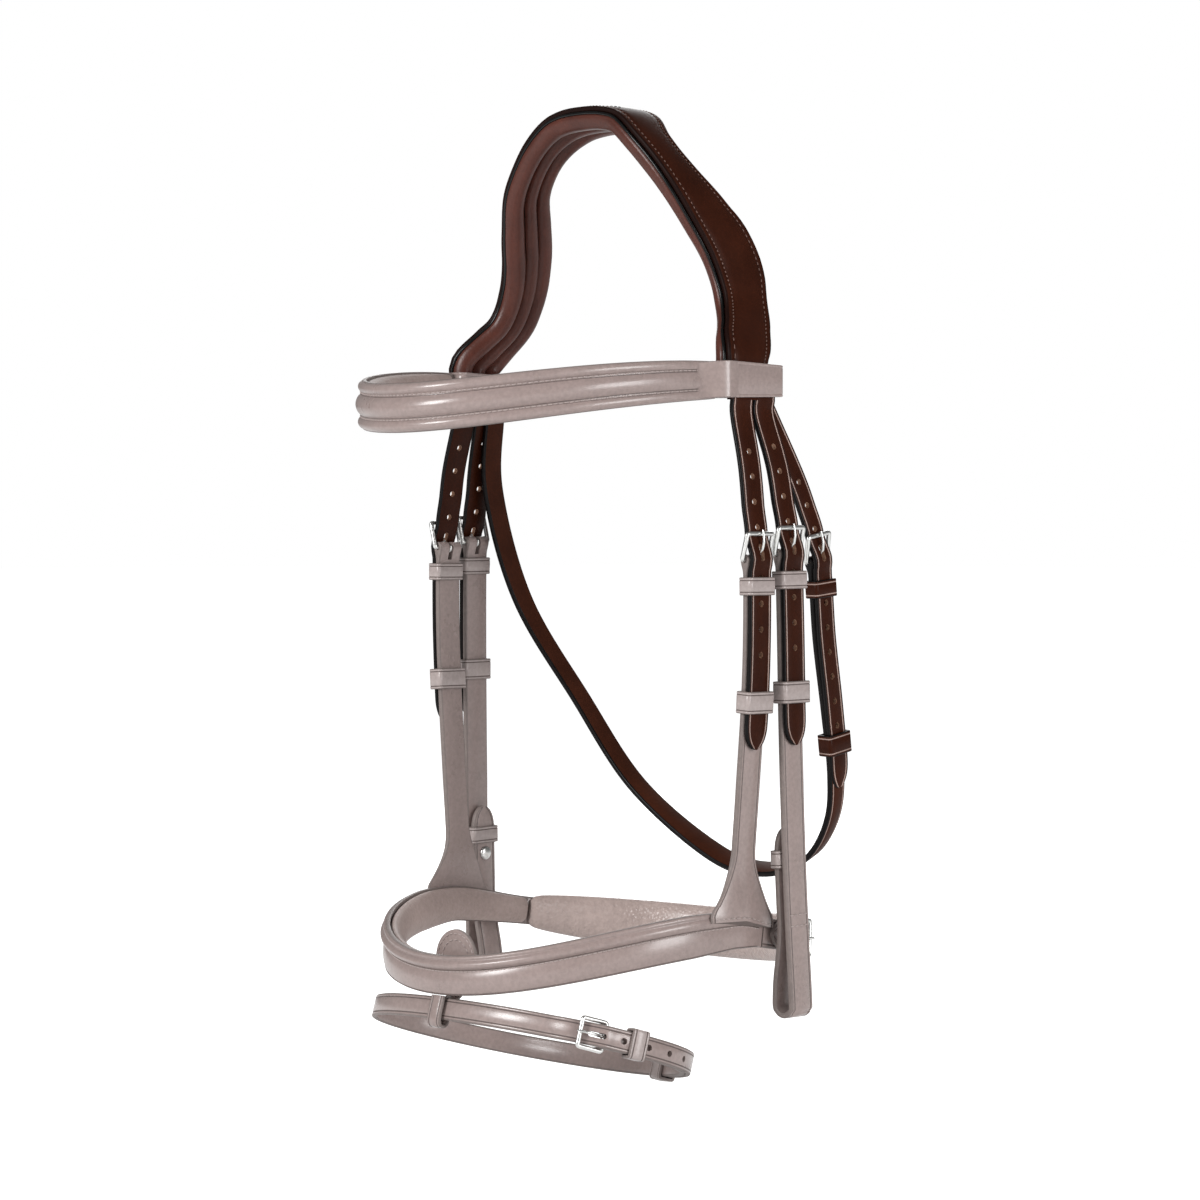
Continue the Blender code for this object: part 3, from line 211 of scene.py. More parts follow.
PALE_EDGE = leather("pale_edge", (0.17, 0.138, 0.128), 0.45, 0.08, variation=0.06)
# The creases pressed along the pale straps and keepers are real; their dark colour is painted shade in
# them. The same colour darkens the cords along the band grooves as painted shade.
PALE_CREASE_SHADE = leather("pale_crease_shade", (0.11, 0.084, 0.077), 0.45, 0.1, variation=0.07)
PALE_LINING = leather("pale_lining_soft", (0.3, 0.232, 0.212), 0.5, 0.3, variation=0.07)
PALE_PAD = leather("pale_pad", (0.36, 0.285, 0.262), 0.28, 0.9, 0.3, 620.0, 0.06)
KEEPER = leather("pale_keeper_face", (0.32, 0.27, 0.258), 0.3, 0.08, coat=0.35, variation=0.05)
RAW = leather("cut_leather", (0.3, 0.17, 0.11), 0.75, 0.5, variation=0.15)
PALE_RAW = leather("pale_cut_leather", (0.23, 0.182, 0.168), 0.75, 0.4, variation=0.15)
THREAD = thread("brown_thread", (0.13, 0.066, 0.05))
DARK_THREAD = thread("dark_thread", (0.016, 0.008, 0.006))
PALE_THREAD = thread("pale_thread", (0.4, 0.33, 0.312))
SILVER = metal("polished_steel", (0.8, 0.8, 0.78), 0.28)

STRAP_BROWN = (BROWN, BROWN_EDGE, BROWN_CREASE_HIGHLIGHT, RAW)
STRAP_THROAT = (THROAT, BROWN_EDGE, BROWN_CREASE_HIGHLIGHT, RAW)
STRAP_PALE = (PALE, PALE_EDGE, PALE_CREASE_SHADE, PALE_RAW)
BAND_PALE = (PALE, PALE_EDGE)
LOOP_PALE = (PALE, PALE, PALE, PALE_RAW)
KEEPER_PALE = (KEEPER, PALE_EDGE, PALE_CREASE_SHADE)
KEEPER_BROWN = (BROWN, BROWN_EDGE, BROWN_CREASE_HIGHLIGHT)
FACE, EDGE, CREASE, CUT = range(4)


# Ribbons


class Line:
    """Something with a frame (point, along, across, out) at each distance s along it."""

    def place(self, s, u, v):
        point, _, across, out = self.frame(s)
        return point + across * u + out * v


class Ribbon(Line):
    """A smooth line through points, each with the direction in which the strap is wide."""

    def __init__(self, points, widths):
        points = [Vector(p) for p in points]
        line = [2 * points[0] - points[1], *points, 2 * points[-1] - points[-2]]
        self.points, self.widths = [], []
        for i in range(len(points) - 1):
            p0, p1, p2, p3 = line[i : i + 4]
            for k in range(RIBBON_SAMPLES + (i == len(points) - 2)):
                t = k / RIBBON_SAMPLES
                blend = p1 * 2 + (p2 - p0) * t
                blend += (p0 * 2 - p1 * 5 + p2 * 4 - p3) * t**2
                blend += (p1 * 3 - p0 - p2 * 3 + p3) * t**3
                self.points.append(blend / 2)
                self.widths.append(widths[i].lerp(widths[i + 1], t))
        self.distances = [0.0]
        for a, b in zip(self.points, self.points[1:]):
            self.distances.append(self.distances[-1] + (b - a).length)
        self.length = self.distances[-1]
        last = len(self.points) - 1
        self.tangents = []
        for i in range(last + 1):
            step = self.points[min(i + 1, last)] - self.points[max(i - 1, 0)]
            self.tangents.append(step.normalized())

    def frame(self, s):
        """The point at s, and the directions along, across and out of the ribbon there."""
        inside = min(max(s, 0.0), self.length)
        i = min(max(bisect.bisect(self.distances, inside) - 1, 0), len(self.points) - 2)
        t = (inside - self.distances[i]) / (self.distances[i + 1] - self.distances[i])
        along = self.tangents[i].lerp(self.tangents[i + 1], t).normalized()
        point = self.points[i].lerp(self.points[i + 1], t) + along * (s - inside)
        across = self.widths[i].lerp(self.widths[i + 1], t)
        across = (across - along * across.dot(along)).normalized()
        return point, along, across, across.cross(along)

    def reach(self, drop):
        """The first s at which the ribbon comes down to this drop below the poll."""
        for i in range(len(self.points) - 1):
            high, low = -self.points[i].z, -self.points[i + 1].z
            if high <= drop <= low:
                share = (drop - high) / (low - high)
                return self.distances[i] + (self.distances[i + 1] - self.distances[i]) * share
        return self.length

    def nearest(self, target):
        gaps = [(p - target).length for p in self.points]
        return self.distances[gaps.index(min(gaps))]


class Shifted(Line):
    """A ribbon counted from another place on it, such as the bar of a buckle."""

    def __init__(self, ribbon, start, turned=False):
        self.ribbon, self.start, self.turned = ribbon, start, turned

    def frame(self, s):
        if not self.turned:
            return self.ribbon.frame(self.start + s)
        point, along, across, out = self.ribbon.frame(self.start - s)
        return point, -along, -across, out


def level(s):
    return 0.0


class Rolled:
    """A ribbon rolled about its own line and set aside and out from it, changing along it."""

    def __init__(self, ribbon, angle, aside=level, shift=level):
        self.ribbon, self.angle, self.aside, self.shift = ribbon, angle, aside, shift

    def place(self, s, u, v):
        a = self.angle(s)
        u += self.aside(s)
        turned = u * sin(a) + v * cos(a)
        return self.ribbon.place(s, u * cos(a) - v * sin(a), turned + self.shift(s))


def bump(t):
    return exp(-t * t)


def smooth(t):
    t = min(max(t, 0.0), 1.0)
    return t * t * (3 - 2 * t)


def through(knots, flowing=False):
    """A function through (s, value) knots, level at each knot or flowing on through it."""
    last = len(knots) - 1
    slopes = [0.0] * (last + 1)
    if flowing:
        pairs = [(knots[max(k - 1, 0)], knots[min(k + 1, last)]) for k in range(last + 1)]
        slopes = [(b[1] - a[1]) / (b[0] - a[0]) for a, b in pairs]

    def value(s):
        if s <= knots[0][0]:
            return knots[0][1]
        for k in range(last):
            (s0, v0), (s1, v1) = knots[k], knots[k + 1]
            if s <= s1:
                span = s1 - s0
                t = (s - s0) / span
                start = (v0 + span * slopes[k] * t) * (1 - smooth(t))
                return start + (v1 - span * slopes[k + 1] * (1 - t)) * smooth(t)
        return knots[-1][1]

    return value


def swell(share, power=1.0):
    return max(sin(pi * share), 0.0) ** power


def turns_of(count, first=0.0):
    return [tau * (k + first) / count for k in range(count)]


def spread(start, end, step):
    count = max(1, ceil((end - start) / step))
    return [start + (end - start) * k / count for k in range(count + 1)]


def scaled(shares):
    return [Vector((x * HALF_WIDTH, y * FACE_DEPTH, z * -BIT_DROP)) for x, y, z in shares]


def hanging(points):
    return Ribbon(points, [FORWARD] * len(points))


def ring_of(half_width, depth, centre_y, side_drop, front_dip, rear_dip=0.0):
    """A function from a turn, zero at the front and positive to the near side, to a point."""

    def point(turn):
        ahead = cos(turn)
        fall = front_dip * ahead**2 if ahead > 0 else rear_dip * -ahead
        return Vector((half_width * sin(turn), centre_y - depth * ahead, -side_drop - fall))

    return point


def band(ring, start, end, count=22):
    turns = [start + (end - start) * k / count for k in range(count + 1)]
    return Ribbon([ring(a) for a in turns], [UPWARD] * (count + 1))


# Mesh makers


def outward(name, bm):
    bmesh.ops.recalc_face_normals(bm, faces=bm.faces)
    if bm.calc_volume(signed=True) < 0:
        bmesh.ops.reverse_faces(bm, faces=bm.faces)
    mesh = bpy.data.meshes.new(name)
    bm.to_mesh(mesh)
    bm.free()
    return mesh


def linked(name, data):
    made = bpy.data.objects.new(name, data)
    bpy.context.scene.collection.objects.link(made)
    return made


def add(name, bm, looks, body, *nodes, sharp=50):
    """Puts a piece in the scene, on a body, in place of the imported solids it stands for."""
    mesh = outward(name, bm)
    mesh.shade_smooth()
    mesh.set_sharp_from_angle(angle=radians(sharp))
    for look in looks:
        mesh.materials.append(look)
    piece = linked(name, mesh)
    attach(piece, body)
    if nodes:
        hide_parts(*nodes)
    return piece


def dress(node, bm, looks, body=HEAD, sharp=50):
    """Puts a leather piece in place of the solid of the same name."""
    add(node + "_leather", bm, looks, body, node, sharp=sharp)


def mirrored(bm, side):
    if side == OFF:
        for vert in bm.verts:
            vert.co.x = -vert.co.x
    return bm


def loft(rings, closed=False, tags=None, bm=None):
    """A skin over rings of points; tags are the material of each strip between ring points."""
    if bm is None:
        bm = bmesh.new()
    loops = [[bm.verts.new(p) for p in ring] for ring in rings]
    pairs = list(zip(loops, loops[1:]))
    if closed:
        pairs.append((loops[-1], loops[0]))
    for a, b in pairs:
        for i in range(len(a)):
            j = (i + 1) % len(a)
            face = bm.faces.new((a[i], a[j], b[j], b[i]))
            if tags:
                face.material_index = tags[i]
    if not closed:
        for ring in (loops[0], list(reversed(loops[-1]))):
            cap = bm.faces.new(ring)
            if tags:
                cap.material_index = EDGE
    return bm


def sweep(stations, section_of):
    """A skin over the sections at stations, still flat: each point of it is (s, u, v)."""
    sections = [section_of(s) for s in stations]
    rings = [[(s, u, v) for u, v in points] for s, (points, _) in zip(stations, sections)]
    return loft(rings, tags=sections[0][1])


def section(side, crest, middle):
    """A section's points and strips, from those on the side where u is above zero."""
    tags = [tag for _, _, tag in side]
    points = [(u, v + middle) for u, v, _ in side] + [(0.0, crest + middle)]
    points += [(-u, v + middle) for u, v, _ in reversed(side)]
    return points, tags + [FACE] + tags[-2::-1] + [FACE]


def rounded_edge(half, t, c):
    """A section's edge with its corners cut by c, from the back round to the face."""
    near = c * 0.29
    return [(half - c, -t, EDGE), (half - near, near - t, EDGE), (half, c - t, EDGE),
            (half, t - c, EDGE), (half - near, t - near, EDGE), (half - c, t, FACE)]


def strap_section(half, thick, middle):
    """A strap's rounded section with a crease pressed in along each edge of its face."""
    t = thick / 2
    inner, wide = half - min(CREASE_IN, half * 0.45), min(CREASE_WIDTH, half * 0.12)
    side = rounded_edge(half, t, min(EDGE_ROUND, half * 0.5, t * 0.95))
    side += [(inner + wide, t, CREASE), (inner, t - min(CREASE_DEPTH, t / 3), CREASE),
             (inner - wide, t, FACE)]
    return section(side, t, middle)


def flat_strap(stations, half_of, thick_of, lift_of=level):
    return sweep(stations, lambda s: strap_section(half_of(s), thick_of(s), lift_of(s)))


def cut(bm, cutters):
    """Cuts closed meshes out of a flat strap."""
    body = linked("strap", outward("strap", bm))
    tools = []
    for tool in cutters:
        for face in tool.faces:
            face.material_index = CUT
        cutter = linked("cutter", outward("cutter", tool))
        tools.append(cutter)
        modifier = body.modifiers.new("cut", "BOOLEAN")
        modifier.operation = "DIFFERENCE"
        modifier.solver = "EXACT"
        modifier.object = cutter
    bpy.context.view_layer.update()
    ready = body.evaluated_get(bpy.context.evaluated_depsgraph_get())
    result = bmesh.new()
    result.from_mesh(ready.to_mesh())
    for thing in (body, *tools):
        bpy.data.objects.remove(thing)
    return result


def wrap(bm, line, side=NEAR):
    for vert in bm.verts:
        vert.co = line.place(*vert.co)
    return mirrored(bm, side)


def block(s_range, u_range, v_range):
    bm = bmesh.new()
    bmesh.ops.create_cube(bm, size=1)
    for vert in bm.verts:
        spans = zip(vert.co, (s_range, u_range, v_range))
        vert.co = [(low + high) / 2 + share * (high - low) for share, (low, high) in spans]
    return bm


def punch(s, half_length, radius, v_range):
    ring = []
    for a in turns_of(HOLE_SIDES, 0.25):
        ring.append((s + radius * cos(a) + copysign(half_length - radius, cos(a)), radius * sin(a)))
    return loft([[(a, b, v) for a, b in ring] for v in v_range])


def bar_bore(radius, half_width):
    return loft([[(radius * cos(a), u, radius * sin(a)) for a in turns_of(HOLE_SIDES, 1 / 3)]
                 for u in (-half_width - OVERRUN, half_width + OVERRUN)])


def tube(points, radius, sides=10, closed=False, taper=None):
    """A round wire or cord along points."""
    points = [Vector(p) for p in points]
    count = len(points)
    turns = turns_of(sides, 0.5)
    rings = []
    reference = None
    for i, point in enumerate(points):
        if closed:
            along = (points[(i + 1) % count] - points[i - 1]).normalized()
        else:
            along = (points[min(i + 1, count - 1)] - points[max(i - 1, 0)]).normalized()
        if reference is None:
            reference = along.orthogonal()
        reference = (reference - along * reference.dot(along)).normalized()
        second = along.cross(reference)
        size = radius * (taper(i / (count - 1)) if taper else 1.0)
        rings.append([point + (reference * cos(a) + second * sin(a)) * size for a in turns])
    return loft(rings, closed)


def cord(name, line, ends, u_of, v, radius, sides, look, body):
    """A round cord along a line, at a u that changes along it and a v that doesn't."""
    path = [line.place(s, u_of(s), v) for s in spread(*ends, STEP)]
    add(name, tube(path, radius, sides), (look,), body, sharp=80)


def stitches(name, rows, look, body, pitch=STITCH_PITCH, length=STITCH_LENGTH):
    """Rows of stitches, each a function from s to a point."""
    bm = bmesh.new()
    turns = turns_of(STITCH_SIDES)
    for start, end, place, side in rows:
        count = max(1, int(abs(end - start) / pitch))
        for k in range(count):
            middle = start + (end - start) * (k + 0.5) / count
            a, b = place(middle - length / 2), place(middle + length / 2)
            along = b - a
            if side == OFF:
                a, along = (Vector((-p.x, p.y, p.z)) for p in (a, along))
            first = along.orthogonal().normalized()
            second = along.normalized().cross(first)
            rings = []
            for share, size in ((0.0, 0.35), (0.2, 0.95), (0.8, 0.95), (1.0, 0.35)):
                wide, high = first * STITCH_RADIUS * size, second * STITCH_RADIUS * size
                centre = a + along * share
                rings.append([centre + wide * cos(t) + high * sin(t) for t in turns])
            loft(rings, bm=bm)
    add(name, bm, (look,), body, sharp=80)


def row(line, start, end, u_of, v, side=NEAR):
    """A row of stitches along a line, at a u that may change along it."""
    across = u_of if callable(u_of) else lambda s: u_of
    return start, end, lambda s: line.place(s, across(s), v), side


# Buckles, keepers and buckled straps


def rounded_path(corners, radius, steps=5):
    """A closed polygon's points with each corner rounded off."""
    path = []
    count = len(corners)
    for i, corner in enumerate(corners):
        before = (corners[i - 1] - corner).normalized()
        after = (corners[(i + 1) % count] - corner).normalized()
        a, b = corner + before * radius, corner + after * radius
        for k in range(steps + 1):
            t = k / steps
            path.append(a.lerp(corner, t).lerp(corner.lerp(b, t), t))
    return path


def frame_place(line, side):
    """A function from (s, u, v) at a buckle's bar, with no bend of the strap, to the scene."""
    point, along, across, out = line.frame(0.0)

    def place(s, u, v):
        spot = point + along * s + across * u + out * v
        return Vector((-spot.x, spot.y, spot.z)) if side == OFF else spot

    return place


def buckle(prefix, line, half_width, side, body):
    """A square wire frame on the fold's bar, and the tongue that lies on its far bar."""
    place = frame_place(line, side)
    reach = half_width + SEAT_GAP + WIRE_RADIUS
    rise = TOP_BAR_V / BUCKLE_LENGTH
    corners = [Vector((s, u, -s * rise)) for s, u in
               ((0, -reach), (0, reach), (-BUCKLE_LENGTH, reach), (-BUCKLE_LENGTH, -reach))]
    path = rounded_path(corners, WIRE_RADIUS * 1.15)
    wire = tube([place(*p) for p in path], WIRE_RADIUS, 12, closed=True)
    add(prefix + "_buckle_frame", wire, (SILVER,), body, prefix + "_buckle", sharp=80)

    turns = [radians(a) for a in range(300, 80, -14)]
    path = [(-TONGUE_WRAP * cos(a), 0, TONGUE_WRAP * sin(a)) for a in turns]
    rises = through([(0.0, TONGUE_WRAP), (0.26, TONGUE_REST_V * 0.5), (0.46, TONGUE_REST_V * 0.9),
                     (0.72, TONGUE_REST_V * 1.02), (1.0, TONGUE_REST_V)])
    path += [(-BUCKLE_LENGTH * k / 12, 0, rises(k / 12)) for k in range(1, 13)]
    path.append((-BUCKLE_LENGTH - WIRE_RADIUS * 1.6, 0, TONGUE_REST_V - WIRE_RADIUS / 3))
    wire = tube([place(*p) for p in path], TONGUE_RADIUS, taper=lambda t: 1 - 0.35 * t**6)
    add(prefix + "_tongue_pin", wire, (SILVER,), prefix + "_tongue", prefix + "_tongue", sharp=80)


KEEPER_ROUND = 0.0005
KEEPER_CREASE_IN, KEEPER_CREASE_WIDTH, KEEPER_CREASE_DEPTH = 0.0016, 0.0003, 0.0002


def keeper(node, line, half_width, straps, length, clear, looks, side, body, corner=0.0006,
           taper=0.0):
    """A keeper: a band of leather sewn into a ring, with rounded edges and two creases."""
    u, bottom, top = half_width + clear, straps[0] - clear, straps[1] + clear
    corners = [Vector((0, a, b)) for a, b in ((u, bottom), (u, top), (-u, top), (-u, bottom))]
    inner = rounded_path(corners, min(corner, (top - bottom) / 3))
    centre = Vector((0, 0, (bottom + top) / 2))
    half, wall, c = length / 2, KEEPER_WALL, KEEPER_ROUND
    crease = min(KEEPER_CREASE_IN, half * 0.4)
    edge = [(0.0, 0.0, EDGE), (0.0, wall - c, EDGE), (c * 0.3, wall - c * 0.3, EDGE), (c, wall, FACE),
            (crease - KEEPER_CREASE_WIDTH, wall, CREASE), (crease, wall - KEEPER_CREASE_DEPTH, CREASE),
            (crease + KEEPER_CREASE_WIDTH, wall, FACE)]
    tags = [tag for _, _, tag in edge]
    tags += tags[-2::-1] + [EDGE]
    profile = [(a - half, n) for a, n, _ in edge] + [(half - a, n) for a, n, _ in reversed(edge)]
    count = len(inner)
    rings = []
    place = frame_place(line, side)
    for i, point in enumerate(inner):
        along = (inner[(i + 1) % count] - inner[i - 1]).normalized()
        normal = Vector((0, along.z, -along.y))
        if normal.dot(point - centre) < 0:
            normal = -normal
        share = 1 - taper * (1 - point.y / u) / 2
        rings.append([place(s * share, *(point + normal * n).yz) for s, n in profile])
    add(node + "_band", loft(rings, closed=True, tags=tags), looks, body, node, sharp=60)


def keepers(prefix, ribbon, fixed_s, runner_s, half, gap, looks, side, body, turned=False):
    """The fixed keeper and the loose runner round both straps."""
    for name, s, length, clear, rides in (
        ("_fixed_keeper", fixed_s, KEEPER_LENGTH, gap, body),
        ("_runner", runner_s, RUNNER_LENGTH, RUNNER_CLEARANCE, prefix + "_runner"),
    ):
        seat = Shifted(ribbon, s, turned)
        keeper(prefix + name, seat, half, BOTH_STRAPS, length, clear, looks, side, rides)


def tip_width(s, end, half_width):
    into = (s - (end - TIP_LENGTH)) / TIP_LENGTH
    if into <= 0:
        return half_width
    return half_width * max(sqrt(max(1 - into**2.4, 0)), 0.06)


def tip_stations(start, end):
    shares = [1 - (1 - k / 9) ** 1.8 for k in range(1, 10)]
    return spread(start, end - TIP_LENGTH, STEP) + [end - TIP_LENGTH + TIP_LENGTH * a for a in shares]


def buckled_knots(top, line):
    """How far a point strap lies out from the strap below it, on its way through a buckle."""
    bar, _, _, out = line.frame(0.0)
    fall = (line.place(-BUCKLE_LENGTH, 0.0, 0.0) - bar).dot(out)
    return [(max(top, -BUCKLE_LENGTH * 2.2), 0.0), (-BUCKLE_LENGTH, TOP_LIFT - fall), (0.0, BAR_LIFT),
            (FOLD_LENGTH, REST_LIFT)]


def fold_thickness(s):
    if s < 0:
        return 2 * max(sqrt(max(FOLD_RADIUS**2 - s**2, 0)), FOLD_RADIUS / 10)
    thin = CARRIER_THICKNESS / 2
    return 2 * (FOLD_RADIUS + (thin - FOLD_RADIUS) * smooth(s / FOLD_LENGTH))


def fold_stations(end):
    nose = [-FOLD_RADIUS * cos(radians(a)) for a in range(0, 90, 12)]
    return nose + spread(0.0, FOLD_LENGTH, FINE_STEP) + spread(FOLD_LENGTH, end, STEP)[1:]


def folded_strap(stations, half, half_of=None, thick_of=fold_thickness, lift_of=level, holes=()):
    """A flat strap folded round a buckle's bar, with the bar's bore and the tongue's slot."""
    room = FOLD_RADIUS + OVERRUN
    slot = block((-room, FOLD_LENGTH * 0.93), (-SLOT_HALF_WIDTH, SLOT_HALF_WIDTH), (-room, room))
    bore = bar_bore(WIRE_RADIUS + PIVOT_CLEARANCE, half)
    bm = flat_strap(stations, half_of or (lambda s: half), thick_of, lift_of)
    return cut(bm, [bore, slot, *holes])


def punches(lift, start, above, below, skipped=(), at=0.0):
    """The slot that the tongue passes and the round holes above and below it."""
    deep = POINT_THICKNESS / 2 + OVERRUN
    cutters = []
    for k in range(-above, below + 1):
        s = SLOT_MIDDLE + k * HOLE_PITCH
        if k not in skipped and s >= start + HOLE_PITCH / 3:
            size = (HOLE_RADIUS, HOLE_RADIUS) if k else (SLOT_HALF_LENGTH, SLOT_HALF_WIDTH)
            cutters.append(punch(at + s, *size, (lift(s) - deep, lift(s) + deep)))
    return cutters


def point_strap(node, line, start, end, half, lift, looks, side, holes, sewn_in=0.0):
    """A strap with punched holes that passes through a buckle whose bar is at s = 0."""
    bm = flat_strap(tip_stations(start - sewn_in, end), lambda s: tip_width(s, end, half),
                    lambda s: POINT_THICKNESS, lift)
    dress(node, wrap(cut(bm, punches(lift, start, *holes)), line, side), looks)


def cheek_end(prefix, ribbon, places, half, looks, keeper_looks, side, holes=(4, 4), top_s=0.0,
              turned=False):
    """The point strap, buckle and keepers at the top of a carrier strap, counted from its bar."""
    bar_s, keeper_s, runner_s, tip_s = places
    line = Shifted(ribbon, bar_s, turned)
    sign = -1 if turned else 1
    top, tip = sign * (top_s - bar_s), sign * (tip_s - bar_s)
    lift = through(buckled_knots(top, line))
    point_strap(prefix + "_point_strap", line, top, tip, half, lift, looks, side, holes, SEWN_IN)
    buckle(prefix, line, half, side, HEAD)
    keepers(prefix, ribbon, keeper_s, runner_s, half, SEAT_GAP, keeper_looks, side, HEAD, turned)
    return line


# Lines of the bridle, as in the solids

CROWN_X, CROWN_Y = 0.1015, -0.0035
CROWN_END_WIDTH, CROWN_POLL_WIDTH, CROWN_THICKNESS = 0.034, 0.042, 0.003
CROWN_PAD_THICKNESS, CROWN_PAD_OVERHANG = 0.009, 0.0016
CROWN_END_DROP, CROWN_PAD_END_DROP = 0.152, 0.149
crown_shares = [
    (0.000, -0.02, 0.000, 1.00),
    (0.2, -0.034, 0.0068, 0.91),
    (0.35, -0.062, 0.034, 0.74),
    (0.51, -0.047, 0.08, 0.64),
    (0.604, 0.000, 0.124, 0.62),
    (0.664, 0.04, 0.159, 0.62),
    (0.711, 0.055, 0.193, 0.6),
    (0.758, 0.047, 0.226, 0.6),
    (0.82, 0.016, 0.25, 0.68),
]
crown_end_drops = (0.128, 0.14, CROWN_END_DROP)


def crown_line():
    """The headpiece's line from its off end to its near end, and its width along it."""
    half = scaled([share[:3] for share in crown_shares])
    widths = [share[3] * CROWN_POLL_WIDTH for share in crown_shares]
    half += [Vector((CROWN_X, CROWN_Y, -drop)) for drop in crown_end_drops]
    widths += [CROWN_END_WIDTH] * len(crown_end_drops)
    whole = [Vector((-p.x, p.y, p.z)) for p in reversed(half[1:])] + half
    ribbon = hanging(whole)
    both = list(reversed(widths[1:])) + widths
    return ribbon, through(list(zip([ribbon.nearest(p) for p in whole], both)), flowing=True)


crown, crown_width = crown_line()

NOSE_HALF_WIDTH, NOSE_DEPTH, NOSE_CENTRE_Y = 0.103, 0.111, -0.013
NOSE_SIDE_DROP, NOSE_FRONT_DIP, NOSE_REAR_DIP = 0.4165, 0.0215, 0.017
NOSE_FRONT_HEIGHT = 0.0198
NOSE_THICKNESS, NOSE_RIDGE, NOSE_PAD_THICKNESS = 0.0032, 0.0026, 0.0085
NOSE_NEAR_TURN, NOSE_OFF_TURN = radians(98), radians(112)
nose_ring = ring_of(NOSE_HALF_WIDTH, NOSE_DEPTH, NOSE_CENTRE_Y, NOSE_SIDE_DROP, NOSE_FRONT_DIP,
                    NOSE_REAR_DIP)
nose_line = band(nose_ring, NOSE_NEAR_TURN, -NOSE_OFF_TURN, 26)
nose_heights = [(98, 0.015), (90, 0.0185), (72, 0.0215), (0, NOSE_FRONT_HEIGHT),
                (-72, 0.0215), (-90, 0.0185), (-112, 0.015)]
nose_half_height = through(
    [(nose_line.nearest(nose_ring(radians(a))), h / 2) for a, h in nose_heights])

STRAP_TOP_DROP = CROWN_END_DROP + SEAT_GAP
STRAP_TOP_X = CROWN_X + 0.0006
FRONT_TOP_Y = CROWN_Y - CHEEK_WIDTH / 2 - SEAT_GAP
REAR_TOP_Y = CROWN_Y + CHEEK_WIDTH / 2 + SEAT_GAP
CHEEKS_APART = CHEEK_WIDTH + 4 * WIRE_RADIUS + 2 * SEAT_GAP + 0.0007
BIT_FOLD_RADIUS = 0.0055


def hung(y, shares):
    """A cheek strap's points, its y as a share of the distance between the two straps."""
    led = [Vector((STRAP_TOP_X, y, -STRAP_TOP_DROP - lead)) for lead in (0.0, 0.008)]
    return led + [Vector((x * HALF_WIDTH, CROWN_Y + y * CHEEKS_APART, -z * BIT_DROP))
                  for x, y, z in shares]


hanger_s = nose_line.nearest(nose_ring(pi / 2))
HANGER_END_DROP = NOSE_SIDE_DROP - nose_half_height(hanger_s) - SEAT_GAP * 2
front_line = hanging(
    hung(FRONT_TOP_Y, [(0.947, -0.421, 0.41), (0.974, -0.435, 0.483), (0.978, -0.435, 0.57),
                       (0.965, -0.428, 0.653), (0.934, -0.435, 0.75), (0.905, -0.442, 0.835)])
    + [Vector((NOSE_HALF_WIDTH, NOSE_CENTRE_Y, -HANGER_END_DROP))]
)
rear_points = hung(REAR_TOP_Y, [(0.955, 0.495, 0.41), (0.988, 0.558, 0.483), (0.998, 0.586, 0.57),
                                (1.003, 0.627, 0.696), (1.012, 0.718, 0.848), (1.026, 0.843, 1.000)])
rear_points[-1].z += BIT_FOLD_RADIUS
rear_line = hanging(rear_points)


# Stuffed linings

LINING_PRESSURE, LINING_CAP, LINING_FRAMES = 3.0, 0.001, 14
CHANNEL_DEPTH, SIDE_DEPTH = 0.5, 0.3
LINING_STEPS = 6
WRINKLE_SCALE, WRINKLE = 140.0, 0.00016


def settle(bm, pinned):
    """Blows a lining up between its seams with a short cloth simulation."""
    mesh = outward("stuffing", bm)
    piece = linked("stuffing", mesh)
    seams = piece.vertex_groups.new(name="seams")
    seams.add([i for i, held in enumerate(pinned) if held], 1.0, "REPLACE")
    cloth = piece.modifiers.new("stuffing", "CLOTH")
    settings = cloth.settings
    settings.quality = 6
    settings.mass = 0.15
    settings.tension_stiffness = settings.compression_stiffness = 12
    settings.bending_stiffness = 0.4
    settings.vertex_group_mass = "seams"
    settings.pin_stiffness = 10
    settings.use_pressure = True
    settings.uniform_pressure_force = LINING_PRESSURE
    settings.effector_weights.gravity = 0.0
    cloth.collision_settings.use_collision = False
    cloth.point_cache.frame_start = 1
    cloth.point_cache.frame_end = LINING_FRAMES
    scene = bpy.context.scene
    for number in range(1, LINING_FRAMES + 1):
        scene.frame_set(number)
    ready = piece.evaluated_get(bpy.context.evaluated_depsgraph_get()).to_mesh()
    moved = [vert.co.copy() for vert in ready.vertices]
    result = bmesh.new()
    result.from_mesh(mesh)
    for vert, target in zip(result.verts, moved):
        shift = target - vert.co
        if shift.length > LINING_CAP:
            shift *= LINING_CAP / shift.length
        vert.co += shift
    bpy.data.objects.remove(piece)
    scene.frame_set(1)
    return result


